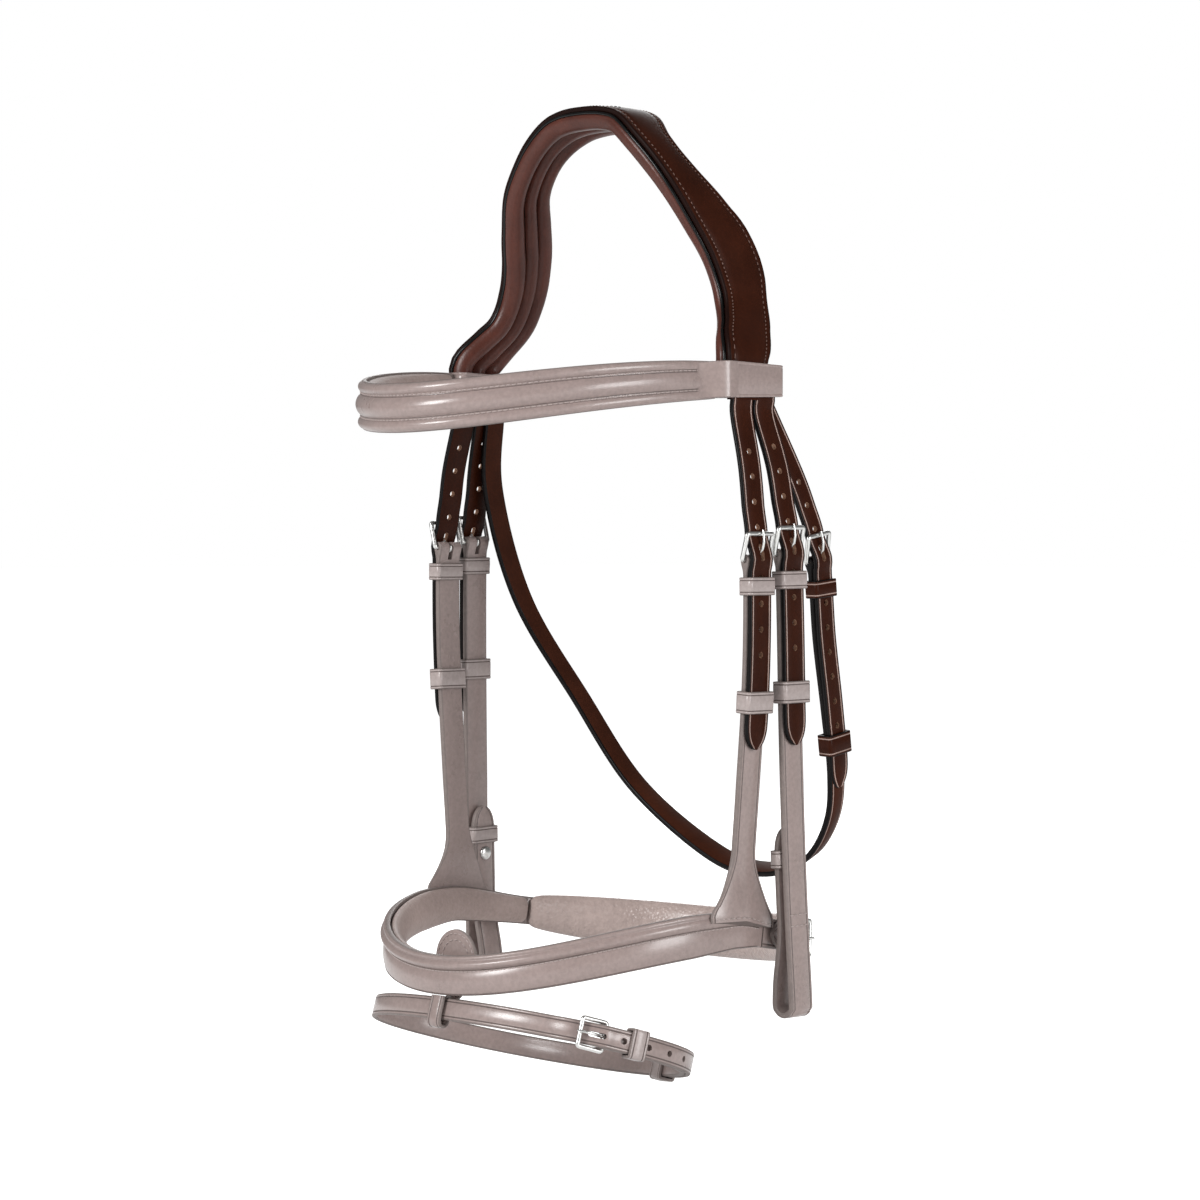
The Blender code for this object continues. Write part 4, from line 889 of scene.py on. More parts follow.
def lining(node, line, stations, half_of, depth_of, high, channels, look, body):
    """A stuffed lining: flat on the leather, with a roll between each pair of seams below it."""
    seams = [-1.0, *channels, 1.0]
    shares = []
    for a, b in zip(seams, seams[1:]):
        shares += [(a + (b - a) * k / LINING_STEPS, k == 0) for k in range(LINING_STEPS)]
    shares.append((1.0, True))

    def depth_share(share):
        for a, b in zip(seams, seams[1:]):
            if a <= share <= b:
                middle = (a + b) / 2
                outer = (a == -1.0 and share < middle) or (b == 1.0 and share > middle)
                edge = SIDE_DEPTH if outer else CHANNEL_DEPTH
                return edge + (1 - edge) * swell((share - a) / (b - a), 0.55)

    rings, pinned = [], []
    for s in stations:
        half, depth = half_of(s), depth_of(s)
        ring = [(s, half * share, high - depth * depth_share(share) * 0.96) for share, _ in shares]
        ring += [(s, half * share, high) for share in (0.97, 0.5, 0.0, -0.5, -0.97)]
        pinned += [held for _, held in shares] + [True] * 5
        rings.append([line.place(*p) for p in ring])
    size = len(rings[0])
    pinned[:size] = pinned[-size:] = [True] * size
    bm = loft(rings)
    bm = settle(bm, pinned)
    for vert, held in zip(bm.verts, pinned):
        if not held:
            vert.co += noise.noise_vector(vert.co * WRINKLE_SCALE) * WRINKLE
    crease = bm.edges.layers.float.new("crease_edge")
    bm.verts.index_update()
    sewn = [LINING_STEPS * k for k in range(1, len(channels) + 1)]
    for edge in bm.edges:
        a, b = (vert.index % size for vert in edge.verts)
        if a == b and a in sewn:
            edge[crease] = 1.0
    piece = add(node + "_lining", bm, (look,), body, node, sharp=70)
    curve = piece.modifiers.new("soft", "SUBSURF")
    curve.levels = curve.render_levels = 1


# Headpiece

CROWN_ROLL, ROLLED_AT, ROLLED_OVER = radians(-8), 0.08, 0.038
CROWN_DOME, CROWN_SEAM_IN = 0.0007, 0.0034
CROWN_CHANNELS = (-0.3, 0.3)
PIPING_RADIUS, PIPING_OUT, SEAM_SHADE_RADIUS = 0.00085, 0.0004, 0.001
POLL_MARK_HALF, POLL_MARK_AHEAD = 0.02, 0.0085
CROWN_SEAM_START, CROWN_PITCH, CROWN_STITCH = 0.004, 0.0026, 0.0014
# How far the rear edge is set out, by the distance from the nearer end
REAR_EDGE = [(0.0, -0.0085), (0.02, -0.0062), (0.04, -0.0016), (0.06, 0.0026), (0.085, 0.0038),
             (0.11, 0.0014), (0.135, -0.0032), (0.165, -0.0062), (crown.length / 2, -0.0075)]


def crown_section(half):
    """The headpiece's domed face, with a stitch groove set in from each edge."""
    t, seam = CROWN_THICKNESS / 2, half - CROWN_SEAM_IN
    low = t + CROWN_DOME * 0.15
    side = rounded_edge(half, t, EDGE_ROUND)
    side += [(seam + 0.0006, low, FACE), (seam, low - 0.0003, FACE),
             (seam - 0.0006, t + CROWN_DOME * 0.2, FACE), (half * 0.5, t + CROWN_DOME * 0.7, FACE)]
    return section(side, t + CROWN_DOME, 0.0)


def build_crown():
    from_end = lambda s: min(s, crown.length - s)
    out = through(REAR_EDGE, flowing=True)
    rear = lambda s: out(from_end(s))
    rolled = Rolled(crown, lambda s: CROWN_ROLL * bump((from_end(s) - ROLLED_AT) / ROLLED_OVER),
                    lambda s: -rear(s) / 2)
    half_of = lambda s: (crown_width(s) + rear(s)) / 2
    face = sweep(spread(0.0, crown.length, STEP), lambda s: crown_section(half_of(s)))
    dress("crown_face", wrap(face, rolled), (BROWN, CROWN_EDGE))
    high = -CROWN_THICKNESS / 2 - SEAT_GAP * 2
    trim = CROWN_END_DROP - CROWN_PAD_END_DROP
    ends = (trim, crown.length - trim)
    wide = lambda s: half_of(s) + CROWN_PAD_OVERHANG
    lining("crown_padding", rolled, spread(*ends, CROWN_PAD_STEP), wide,
           lambda s: CROWN_PAD_THICKNESS, high, CROWN_CHANNELS, LINING, HEAD)
    # A dark cord along each stitched channel of the lining: partly the seam, partly painted shade in
    # the channel.
    for share, word in zip(CROWN_CHANNELS, ("rear", "front")):
        cord("crown_lining_seam_" + word, rolled, ends, lambda s: wide(s) * share,
             high - CROWN_PAD_THICKNESS * CHANNEL_DEPTH, SEAM_SHADE_RADIUS, 6, LINING_SEAM_SHADE, HEAD)
    for sign, word in ((1, "front"), (-1, "rear")):
        cord("crown_piping_" + word, rolled, ends, lambda s: sign * (half_of(s) + PIPING_OUT),
             high - 0.0001, PIPING_RADIUS, 10, PIPING, HEAD)
    rows = [row(rolled, CROWN_SEAM_START, crown.length - CROWN_SEAM_START,
                lambda s, q=q: q * (half_of(s) - CROWN_SEAM_IN), CROWN_THICKNESS / 2 + THREAD_LIFT)
            for q in (1, -1)]
    stitches("crown_stitches", rows, THREAD, HEAD, CROWN_PITCH, CROWN_STITCH)
    middle = crown.length / 2
    rows = [row(crown, middle - POLL_MARK_HALF, middle + POLL_MARK_HALF, POLL_MARK_AHEAD,
                CROWN_THICKNESS / 2 + 0.0006)]
    stitches("crown_poll_mark", rows, DARK_THREAD, HEAD)


# Cheeks

HALF_CHEEK = CHEEK_WIDTH / 2
# The drops of a cheek's buckle bar, runner and tip on the near side
FRONT_DROPS, REAR_DROPS = (0.232, 0.3025, 0.326), (0.229, 0.298, 0.3245)
KEEPER_BELOW_BAR, FOLD_SEAM, FOLD_SEAM_IN = 0.013, 0.03, 0.0031
FLARE_DROP, FLARE_HALF_WIDTH, FLARE_POWER = 0.376, 0.0215, 2.2
SEWN_LIFT, SEWN_OVERLAP, SEAM_IN = 0.0028, 0.0045, 0.0016
STUD_DROP, STUD_RADIUS, STUD_HEAD_RADIUS, STUD_HEAD_HEIGHT = 0.3915, 0.0017, 0.0036, 0.0014
BILLET_DROP, BILLET_KEEPER_DROP, FOLD_CLOSE_DROP = 0.366, 0.3815, 0.414
OUTER_POINTS_APART, INNER_POINTS_APART = 0.026, 0.013
BIT_SEAM_DROPS = (0.4095, 0.415)
CARRIER_TOP = CARRIER_THICKNESS / 2 + THREAD_LIFT


def cheek(prefix, ribbon, drops, side):
    """A cheek's top end, and the ribbon counted from its buckle's bar."""
    take_up = OFF_SIDE_TAKE_UP if side == OFF else 0.0
    bar, runner, tip = (ribbon.reach(drop - take_up) for drop in drops)
    return cheek_end(prefix, ribbon, (bar, bar + KEEPER_BELOW_BAR, runner, tip), HALF_CHEEK,
                     STRAP_BROWN, KEEPER_PALE, side)


def fold_rows(line, side):
    """Two rows of stitches that close the fold below a cheek's buckle."""
    return [row(line, FOLD_LENGTH, FOLD_LENGTH + FOLD_SEAM, q * (HALF_CHEEK - FOLD_SEAM_IN),
                CARRIER_TOP, side) for q in (1, -1)]


def build_hanger(side, prefix):
    line = cheek(prefix, front_line, FRONT_DROPS, side)
    end = front_line.length - line.start
    flare = front_line.reach(FLARE_DROP) - line.start
    past = lambda s: (s - flare) / (end - flare)

    def half_of(s):
        share = min(max(0.0, past(s)), 1.0) ** FLARE_POWER
        return HALF_CHEEK + (FLARE_HALF_WIDTH - HALF_CHEEK) * share

    def laid(s, u, v):
        """On the strap's line, then down on the noseband's face."""
        share = smooth(past(s))
        if share == 0.0:
            return line.place(s, u, v)
        there = hanger_s + u
        up = nose_half_height(there) + end - s
        return line.place(s, u, v).lerp(nose_line.place(there, up, v + SEWN_LIFT * share), share)

    bm = folded_strap(fold_stations(end + SEWN_OVERLAP), HALF_CHEEK, half_of,
                      lambda s: fold_thickness(s) * (1 - 0.5 * smooth(past(s))))
    for vert in bm.verts:
        vert.co = laid(*vert.co)
    dress(prefix + "_strap", mirrored(bm, side), STRAP_PALE)
    seam = end + SEWN_OVERLAP - SEAM_IN
    edge = half_of(seam) - SEAM_IN
    across = (-edge, edge, lambda u: laid(seam, u, CARRIER_THICKNESS / 4 + THREAD_LIFT), side)
    stitches(prefix + "_strap_stitches", [*fold_rows(line, side), across], PALE_THREAD, HEAD)


def hook_stud(prefix, together, side):
    """A round stud through the fold's inner end, with a domed head."""
    seat = Shifted(rear_line, rear_line.reach(STUD_DROP))
    neck = -CARRIER_THICKNESS / 2 - SEAT_GAP
    head = neck - together - SEAT_GAP
    profile = [(STUD_RADIUS, neck), (STUD_RADIUS, head)]
    for degrees in (0, 15, 30, 45, 60, 75, 86):
        a = radians(degrees)
        profile.append((STUD_HEAD_RADIUS * cos(a), head - STUD_HEAD_HEIGHT * sin(a)))
    rings = [[seat.place(r * cos(a), r * sin(a), v) for a in turns_of(24)] for r, v in profile]
    add(prefix + "_hook_stud_dome", mirrored(loft(rings), side), (SILVER,), HEAD, prefix + "_hook_stud")


def build_bit_cheek(side, prefix):
    top = cheek(prefix, rear_line, REAR_DROPS, side)
    together = CARRIER_THICKNESS + KEEPER_WALL + SEAT_GAP * 3
    hook_stud(prefix, together, side)
    last = rear_line.length
    outer_stations = spread(top.start, last, OUTER_POINTS_APART)
    outer_stations.insert(0, top.start - OUTER_POINTS_APART)
    outer = [rear_line.place(s, 0, 0) for s in outer_stations]
    centre, along, _, out = rear_line.frame(last)
    centre = centre - out * BIT_FOLD_RADIUS
    bend = []
    for degrees in (36, 72, 108, 144):
        a = radians(degrees)
        bend.append(centre + (out * cos(a) + along * sin(a)) * BIT_FOLD_RADIUS)
    gap = through([(rear_line.reach(FOLD_CLOSE_DROP), together), (last, 2 * BIT_FOLD_RADIUS)])
    inner_stations = spread(rear_line.reach(BILLET_DROP), last, INNER_POINTS_APART)
    inner = [rear_line.place(s, 0, -gap(s)) for s in inner_stations]
    whole = hanging(outer + bend + list(reversed(inner)))
    line = Shifted(whole, whole.nearest(outer[1]))
    turn, end = whole.nearest(bend[1]) - line.start, whole.length - line.start
    before, after = turn - BIT_FOLD_RADIUS * 2, turn + BIT_FOLD_RADIUS * 3
    stations = fold_stations(before)
    stations += spread(before, after, FINE_STEP)[1:] + tip_stations(after, end)[1:]
    bm = folded_strap(stations, HALF_CHEEK, lambda s: tip_width(s, end, HALF_CHEEK))
    dress(prefix + "_strap", wrap(bm, line, side), STRAP_PALE)
    billet = (-together - CARRIER_THICKNESS / 2, CARRIER_THICKNESS / 2 - together)
    seat = Shifted(rear_line, rear_line.reach(BILLET_KEEPER_DROP))
    keeper(prefix + "_billet_keeper", seat, HALF_CHEEK, billet, KEEPER_LENGTH, SEAT_GAP, KEEPER_PALE,
           side, HEAD)
    rows = fold_rows(top, side)
    for drop in BIT_SEAM_DROPS:
        across = Shifted(rear_line, rear_line.reach(drop))
        start = -HALF_CHEEK + 0.001
        rows.append((start, -start, lambda u, q=across: q.place(0.0, u, CARRIER_TOP), side))
    stitches(prefix + "_strap_stitches", rows, PALE_THREAD, HEAD)


# Browband

BROW_HALF_WIDTH, BROW_DEPTH, BROW_SIDE_DROP, BROW_FRONT_DIP = 0.098, 0.15, 0.142, 0.015
BROW_SIDE_HEIGHT, BROW_FRONT_HEIGHT = 0.0185, 0.0245
BROW_THICKNESS, BROW_RIDGE, BROW_PAD_THICKNESS = 0.0034, 0.0026, 0.0065
LOOP_HALF_Y = CROWN_END_WIDTH / 2 + CROWN_PAD_OVERHANG + LOOP_CLEARANCE
BROW_START_Y = CROWN_Y - LOOP_HALF_Y - LOOP_WALL - SEAT_GAP
BROW_FACE = BROW_THICKNESS * 0.82
BROW_GROOVE_SHADES, BROW_SEAMS = (0.56, 0.43, -0.43, -0.56), (0.5, -0.5)
BROW_PITCH, BROW_TRIM = 0.0027, 0.004
LOOP_CORNER, LOOP_TAPER = 0.003, 0.14
LAP_ON_BAND, LAP_ON_LOOP, LAP_THICKNESS, LAP_LOW = 0.012, 0.007, 0.0008, -0.0004
brow_turn = acos(-BROW_START_Y / BROW_DEPTH)
brow_ring = ring_of(BROW_HALF_WIDTH, BROW_DEPTH, 0.0, BROW_SIDE_DROP, BROW_FRONT_DIP)
brow_line = band(brow_ring, brow_turn, -brow_turn)


def ridge_section(half, low, thick, beads):
    """A padded band: a flat back, thin edges and beads (centre, half width, height) in shares."""
    points, tags = [(-half, low), (half, low)], [EDGE, EDGE]
    steps = 56
    for k in range(steps + 1):
        share = 1 - 2 * k / steps
        height = thick * (0.62 + 0.38 * smooth((1 - abs(share)) / 0.08))
        for centre, wide, rise in beads:
            t = (share - centre) / wide
            if abs(t) < 1:
                height += rise * (1 - t * t) ** 0.8
        points.append((share * half, low + height))
        tags.append(EDGE if k == 0 or k >= steps - 1 else FACE)
    return points, tags


def padded_band(prefix, line, half_of, thick, face, beads, seams, pitch, shares, trim, body):
    """A ridged leather band, with its rows of stitches and dark cords painted as shade along its
    grooves.
    """
    low = -thick / 2
    top = low + face
    bm = sweep(spread(0.0, line.length, STEP), lambda s: ridge_section(half_of(s), low, face, beads(s)))
    dress(prefix + "_face", wrap(bm, line), BAND_PALE, body, sharp=70)
    rows = [row(line, trim, line.length - trim, lambda s, q=q: q * half_of(s), top + THREAD_LIFT)
            for q in seams]
    stitches(prefix + "_stitches", rows, PALE_THREAD, body, pitch)
    ends = (trim, line.length - trim)
    # Dark cords along the grooves beside the beads: painted shade.
    for number, share in enumerate(shares):
        cord(prefix + "_groove_shade_" + str(number), line, ends, lambda s: share * half_of(s), top,
             GROOVE_SHADE_RADIUS, 5, PALE_CREASE_SHADE, body)


def build_browband():
    length = brow_line.length
    taller = BROW_FRONT_HEIGHT - BROW_SIDE_HEIGHT
    half_of = lambda s: (BROW_SIDE_HEIGHT + taller * swell(s / length, 0.7)) / 2

    def beads(s):
        ridge = BROW_RIDGE * swell(s / length, 0.4)
        return [(0.74, 0.2, ridge * 0.55), (0.0, 0.42, ridge * 1.05), (-0.74, 0.2, ridge * 0.55)]

    padded_band("browband", brow_line, half_of, BROW_THICKNESS, BROW_FACE, beads, BROW_SEAMS,
                BROW_PITCH, BROW_GROOVE_SHADES, BROW_TRIM, "browband")
    trim = BROW_PAD_THICKNESS / 5
    depth_of = lambda s: BROW_PAD_THICKNESS * (0.5 + swell(s / length, 0.5) / 2)
    lining("browband_padding", brow_line, spread(trim, length - trim, PAD_STEP),
           lambda s: half_of(s) * 0.93, depth_of, -BROW_THICKNESS / 2 - SEAT_GAP, (), PALE_LINING,
           "browband")
    hub = hanging([Vector((CROWN_X, CROWN_Y, -drop)) for drop in (0.12, BROW_SIDE_DROP, 0.16)])
    seat = Shifted(hub, hub.reach(BROW_SIDE_DROP))
    inside = (-CROWN_THICKNESS / 2 - SEAT_GAP * 2 - CROWN_PAD_THICKNESS, CROWN_THICKNESS / 2)
    wide = CROWN_END_WIDTH / 2 + CROWN_PAD_OVERHANG
    for side, word in ((NEAR, "near"), (OFF, "off")):
        keeper("browband_" + word + "_loop", seat, wide, inside, BROW_SIDE_HEIGHT, LOOP_CLEARANCE,
               LOOP_PALE, side, "browband", LOOP_CORNER, LOOP_TAPER)
        lap(side, word, seat, wide, half_of(0.0) - 0.0005)


def lap(side, word, seat, wide, half):
    """The band's face carried on over its loop's front edge, skived thin at both ends."""
    front = wide + LOOP_CLEARANCE + KEEPER_WALL
    on_loop = CROWN_THICKNESS / 2 + LOOP_CLEARANCE + KEEPER_WALL
    on_band = BROW_THICKNESS * 0.32
    shares = [k / 5 - 1 for k in range(11)]
    rings = []
    for k in range(15):
        run = (LAP_ON_BAND + LAP_ON_LOOP) * k / 14 - LAP_ON_BAND
        share = smooth((run + LAP_ON_BAND) / (LAP_ON_BAND + 0.002))
        high = 0.0001 + LAP_THICKNESS * swell(k / 14, 0.5)
        ring = []
        for h, thick in [(h, high) for h in shares] + [(h, LAP_LOW) for h in reversed(shares)]:
            from_band = brow_line.place(max(-run, 0.0), h * half, on_band + thick)
            from_loop = seat.place(-h * half, front - run, on_loop + thick)
            ring.append(from_band.lerp(from_loop, share))
        rings.append(ring)
    add("browband_" + word + "_lap", mirrored(loft(rings), side), (PALE,), "browband", sharp=70)


# Noseband

NOSE_FACE = NOSE_THICKNESS * 0.85
NOSE_SEAMS, NOSE_GROOVE_SHADES = (0.2,), (0.76, 0.27, -0.92)
NOSE_PITCH, NOSE_TRIM = 0.0024, 0.003
CHIN_BAR_TURN, CHIN_TIP_TURN, PAD_END_TURN = radians(122), radians(101), radians(128)
PAD_END_HALF, PAD_BULGE, PAD_THICKNESS = 0.0075, 0.0065, 0.008


def build_noseband():
    length = nose_line.length

    def beads(s):
        ridge = NOSE_RIDGE * swell(s / length, 0.5)
        return [(0.52, 0.24, ridge * 0.95), (-0.35, 0.55, ridge * 0.45), (0.86, 0.12, ridge * 0.35)]

    padded_band("noseband", nose_line, nose_half_height, NOSE_THICKNESS, NOSE_FACE, beads, NOSE_SEAMS,
                NOSE_PITCH, NOSE_GROOVE_SHADES, NOSE_TRIM, HEAD)
    depth_of = lambda s: NOSE_PAD_THICKNESS * (0.45 + 0.55 * swell(s / length, 0.5))
    lining("noseband_padding", nose_line, spread(0.0, length, PAD_STEP),
           lambda s: nose_half_height(s) * 0.95, depth_of, -NOSE_THICKNESS / 2 - SEAT_GAP, (),
           PALE_LINING, HEAD)


def build_chin():
    end_gap = SEAT_GAP / NOSE_HALF_WIDTH
    start = -NOSE_OFF_TURN - end_gap
    rear = band(nose_ring, start, NOSE_NEAR_TURN + end_gap - tau, 34)
    bar = rear.nearest(nose_ring(CHIN_BAR_TURN))
    tip = rear.nearest(nose_ring(CHIN_TIP_TURN))
    half = CHIN_WIDTH / 2
    line = Shifted(rear, bar)
    lift = through(buckled_knots(-bar, line))
    point_strap("chin_strap", line, -bar, tip - bar, half, lift, STRAP_PALE, NEAR, (3, 0))
    buckle("chin", line, half, NEAR, HEAD)
    bm = folded_strap(fold_stations(rear.length - bar), half)
    dress("noseband_buckle_strap", wrap(bm, line), STRAP_PALE)
    seat = Shifted(rear, bar + FOLD_LENGTH + KEEPER_LENGTH / 2 + SEAT_GAP * 3)
    keeper("chin_fixed_keeper", seat, half, BOTH_STRAPS, KEEPER_LENGTH, SEAT_GAP * 2, KEEPER_PALE, NEAR,
           HEAD)
    pad = band(nose_ring, start - end_gap, PAD_END_TURN - tau, 18)
    bulk = lambda s: swell(s / pad.length, 0.5)
    lining("chin_pad", pad, spread(0.0, pad.length, PAD_STEP),
           lambda s: PAD_END_HALF + PAD_BULGE * bulk(s),
           lambda s: PAD_THICKNESS * (0.4 + 0.6 * bulk(s)), -POINT_THICKNESS / 2 - SEAT_GAP * 2, (),
           PALE_PAD, HEAD)


# Throatlatch

THROAT_ROLL, THROAT_SET_OUT, THROAT_ROLLED_OVER = radians(24), 0.003, 0.085
THROAT_DROPS = (0.232, 0.247, 0.325, 0.348)
throat_shares = [
    (-0.905, 0.085, 0.425), (-0.88, 0.213, 0.552), (-0.66, 0.34, 0.667), (-0.35, 0.4, 0.768),
    (0.13, 0.42, 0.837), (0.44, 0.425, 0.85), (0.68, 0.425, 0.834), (0.825, 0.415, 0.793),
    (0.89, 0.385, 0.742), (0.908, 0.345, 0.67), (0.91, 0.305, 0.59), (0.912, 0.275, 0.505),
    (0.9, 0.215, 0.435),
]


def build_throatlatch():
    top = Vector((CROWN_X - 0.0036, REAR_TOP_Y + 0.0035, -STRAP_TOP_DROP))
    points = [Vector((-top.x, top.y, top.z)), *scaled(throat_shares), top]
    whole = Ribbon(points, [BACKWARD] * len(points))
    bottom = whole.reach(max(-p.z for p in whole.points))
    climbing = [i for i, d in enumerate(whole.distances) if d > bottom]
    places = [whole.distances[min(climbing, key=lambda i: abs(whole.points[i].z + drop))]
              for drop in THROAT_DROPS]
    half = THROAT_WIDTH / 2
    line = cheek_end("throatlatch", whole, places, half, STRAP_BROWN, KEEPER_BROWN, NEAR, (3, 7, (1,)),
                     whole.length, True)
    under = lambda s: bump((s - line.start + bottom) / THROAT_ROLLED_OVER)
    rolled = Rolled(line, lambda s: THROAT_ROLL * under(s), shift=lambda s: THROAT_SET_OUT * under(s))
    bm = folded_strap(fold_stations(line.start), half)
    dress("throatlatch_strap", wrap(bm, rolled), STRAP_THROAT)


# Flash

FLASH_TAB_THICKNESS, FLASH_TAB_WIDTH, TAB_LOOP_WIDTH = 0.0018, 0.03, 0.0095
FLASH_FRONT_DROP, FLASH_TILT = 0.455, 0.31
FLASH_HALF_WIDTH, FLASH_HALF_DEPTH = 0.094, 0.06
FLASH_BAR_TURN, FLASH_TURNS, FLASH_TAIL = radians(62), 40, 0.13
FLASH_KEEPER_S, FLASH_RUNNER_S, TAB_STEP, TAB_POINTS_APART = 0.016, 0.112, 0.001, 0.013
TAB_TOP_DROP, TAB_SEAMS_IN = 0.4165, (0.002, 0.0052)
TAB_OUT_Y = nose_ring(0).y + NOSE_THICKNESS / 2
TAB_SAG = FLASH_TAB_WIDTH**2 / (8 * (NOSE_HALF_WIDTH - 2 * NOSE_PAD_THICKNESS))
TAB_IN_Y = TAB_OUT_Y + NOSE_PAD_THICKNESS + TAB_SAG + LOOP_CLEARANCE + FLASH_TAB_THICKNESS / 2
TAB_RADIUS = CARRIER_THICKNESS / 2 + 0.0007 + FLASH_TAB_THICKNESS / 2
NOSE_BOTTOM_DROP = NOSE_SIDE_DROP + NOSE_FRONT_DIP + NOSE_FRONT_HEIGHT / 2
FLASH_Y = TAB_OUT_Y + FLASH_TAB_THICKNESS / 2
flash_slope = atan(FLASH_TILT)
flash_down = Vector((0, -sin(flash_slope), -cos(flash_slope)))
flash_ahead = Vector((0, -cos(flash_slope), sin(flash_slope)))
flash_front = Vector((0, FLASH_Y, -FLASH_FRONT_DROP))


def flash_ring(turn):
    back = FLASH_HALF_DEPTH * (1 - cos(turn))
    return flash_front + Vector((FLASH_HALF_WIDTH * sin(turn), back, -FLASH_TILT * back))


def build_flash_tab():
    reach = FLASH_WIDTH / 2 + LOOP_CLEARANCE
    third = flash_down * FLASH_WIDTH / 3
    drops = spread(TAB_TOP_DROP, NOSE_BOTTOM_DROP - FLASH_TAB_THICKNESS, TAB_POINTS_APART)
    points = [Vector((0, TAB_IN_Y, -drop)) for drop in drops]
    points.append(Vector((0, TAB_IN_Y, -NOSE_BOTTOM_DROP)) - Vector((0, 1, 1)) * FLASH_TAB_THICKNESS)
    behind = flash_front - flash_ahead * TAB_RADIUS
    ahead = flash_front + flash_ahead * TAB_RADIUS
    points += [behind - third, behind + third]
    centre = flash_front + flash_down * (reach - TAB_RADIUS / 3)
    for k in (1, 2, 3):
        a = pi * k / 4
        points.append(centre + (flash_down * sin(a) - flash_ahead * cos(a)) * TAB_RADIUS)
    climb = (-NOSE_BOTTOM_DROP - SEAT_GAP * 2 - ahead.z) / flash_down.z
    points += [ahead + third, ahead + flash_down * climb]
    ribbon = Ribbon(points, [Vector((1, 0, 0))] * len(points))
    patch = FLASH_TAB_WIDTH / 2
    wide = through([(patch, patch), (ribbon.reach(NOSE_BOTTOM_DROP), TAB_LOOP_WIDTH / 2)])

    def half_of(s):
        into = max(0.0, 1 - s / patch)
        return wide(s) * max(sqrt(1 - into**2), 0.12)

    stations = [patch * (k / 12) ** 2 for k in range(12)] + spread(patch, ribbon.length, TAB_STEP)
    bm = flat_strap(stations, half_of, lambda s: FLASH_TAB_THICKNESS)
    dress("flash_tab", wrap(bm, ribbon), STRAP_PALE)
    inner = -FLASH_TAB_THICKNESS / 2 - THREAD_LIFT
    rows = []
    for inset in TAB_SEAMS_IN:
        radius = patch - inset
        arc = lambda d, r=radius: ribbon.place(patch - r * sin(d / r), r * cos(d / r), inner)
        rows.append((0.0, pi * radius, arc, NEAR))
    stitches("flash_tab_stitches", rows, PALE_THREAD, HEAD)


def build_flash():
    turns = [FLASH_BAR_TURN + tau * k / FLASH_TURNS for k in range(FLASH_TURNS * 3 // 2)]
    whole = Ribbon([flash_ring(a) for a in turns], [flash_down] * len(turns))
    once = whole.distances[FLASH_TURNS * RIBBON_SAMPLES]
    half = FLASH_WIDTH / 2
    end = once + FLASH_TAIL
    lift = through(buckled_knots(-once, Shifted(whole, once)))
    stations = fold_stations(once)[:-1] + spread(once, once + FOLD_LENGTH, FINE_STEP)
    stations += tip_stations(stations[-1], end)[1:]
    bm = folded_strap(stations, half, lambda s: tip_width(s, end, half),
                      lambda s: POINT_THICKNESS if s > once / 3 else fold_thickness(s),
                      lambda s: lift(s - once), punches(lift, -once, 0, 4, at=once))
    dress("flash_strap", wrap(bm, whole), STRAP_PALE, "flash")
    buckle("flash", Shifted(whole, 0.0), half, NEAR, "flash")
    keepers("flash", whole, FLASH_KEEPER_S, FLASH_RUNNER_S, half, SEAT_GAP * 2, KEEPER_PALE, NEAR,
            "flash")


build_crown()
for side, word in ((NEAR, "near"), (OFF, "off")):
    build_hanger(side, word + "_noseband_cheek")
    build_bit_cheek(side, word + "_bit_cheek")
build_browband()
build_noseband()
build_chin()
build_throatlatch()
build_flash_tab()
build_flash()

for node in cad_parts.values():
    if not node.hide_render:
        node.material_slots[0].material = PALE


# Camera, light and floor

CAMERA_AWAY, CAMERA_LEFT, CAMERA_DROP, CAMERA_SHIFT, LENS = 2.0, 0.00667, 0.222, -0.05, 115.4
LIGHTS_AT = Vector((0, 0, -0.25))
AROUND_DIFFUSE, AROUND_OTHER = 0.4, 0.16
FLOOR_DROP, FLOOR_SIZE, FLOOR_GLOW = 0.512, 60, 0.56
WHITE = (1, 1, 1, 1)


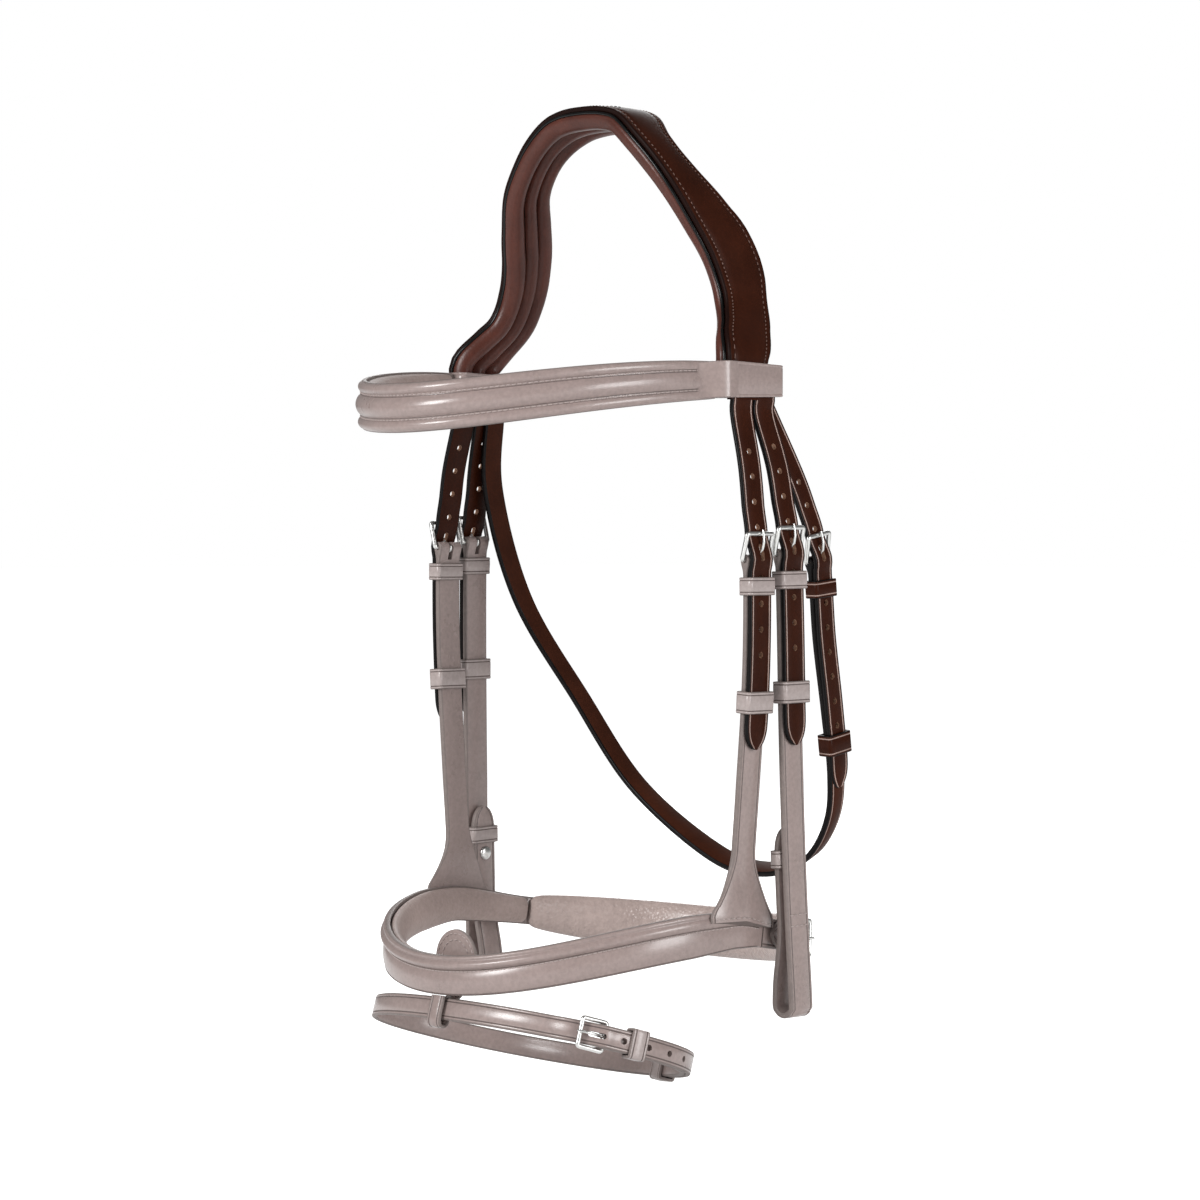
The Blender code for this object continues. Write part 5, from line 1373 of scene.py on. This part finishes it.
def build_view():
    back = Vector((1, -1, 0)).normalized()
    right = Vector((1, 1, 0)).normalized()
    camera = linked("camera", bpy.data.cameras.new("camera"))
    camera.data.lens, camera.data.sensor_width, camera.data.shift_y = LENS, 36.0, CAMERA_SHIFT
    camera.location = back * CAMERA_AWAY - right * CAMERA_LEFT - UPWARD * CAMERA_DROP
    camera.rotation_euler = (-back).to_track_quat("-Z", "Y").to_euler()
    bpy.context.scene.camera = camera
    for name, spot, width, height, power in (
        ("key", (-0.35, -2.3, 0.75), 0.7, 1.0, 50),
        ("fill", (2.3, 0.0, 0.2), 0.8, 1.2, 30),
        ("back", (-1.4, 1.6, 0.6), 1.2, 1.2, 14),
    ):
        lamp = linked(name, bpy.data.lights.new(name, "AREA"))
        lamp.data.shape = "RECTANGLE"
        lamp.data.size, lamp.data.size_y, lamp.data.energy = width, height, power
        lamp.location = spot
        lamp.rotation_euler = (LIGHTS_AT - Vector(spot)).to_track_quat("-Z", "Y").to_euler()


def build_world():
    """White where the camera sees it, and dimmer where it lights the leather."""
    world = bpy.data.worlds.new("studio")
    bpy.context.scene.world = world
    world.use_nodes = True
    sky = Nodes(world.node_tree)
    rays = sky.add("LightPath")
    seen = sky.add("Math", operation="MAXIMUM")
    sky.join(rays, "Is Camera Ray", seen, 0)
    sky.join(rays, "Is Transmission Ray", seen, 1)
    around = sky.add("Math", operation="MULTIPLY_ADD")
    around.inputs[1].default_value = AROUND_DIFFUSE
    around.inputs[2].default_value = AROUND_OTHER
    sky.join(rays, "Is Diffuse Ray", around, 0)
    strength = sky.add("Math", operation="MAXIMUM")
    sky.join(seen, 0, strength, 0)
    sky.join(around, 0, strength, 1)
    background = sky.tree.nodes["Background"]
    sky.join(strength, 0, background, "Strength")
    background.inputs["Color"].default_value = WHITE


def build_floor():
    bpy.ops.mesh.primitive_plane_add(size=FLOOR_SIZE, location=(0, 0, -FLOOR_DROP))
    floor = bpy.context.object
    floor.name = "floor"
    paint = Surface("floor_white")
    paint.set(paint.shader, Base_Color=(0.9, 0.9, 0.9, 1), Roughness=0.9, Specular_IOR_Level=0.0,
              Emission_Color=WHITE)
    glow = paint.add("Math", operation="MULTIPLY")
    glow.inputs[1].default_value = FLOOR_GLOW
    paint.join(paint.add("LightPath"), "Is Camera Ray", glow, 0)
    paint.join(glow, "Value", paint.shader, "Emission Strength")
    floor.data.materials.append(paint.material)


build_view()
build_world()
build_floor()
bpy.context.scene.view_settings.view_transform = "Standard"
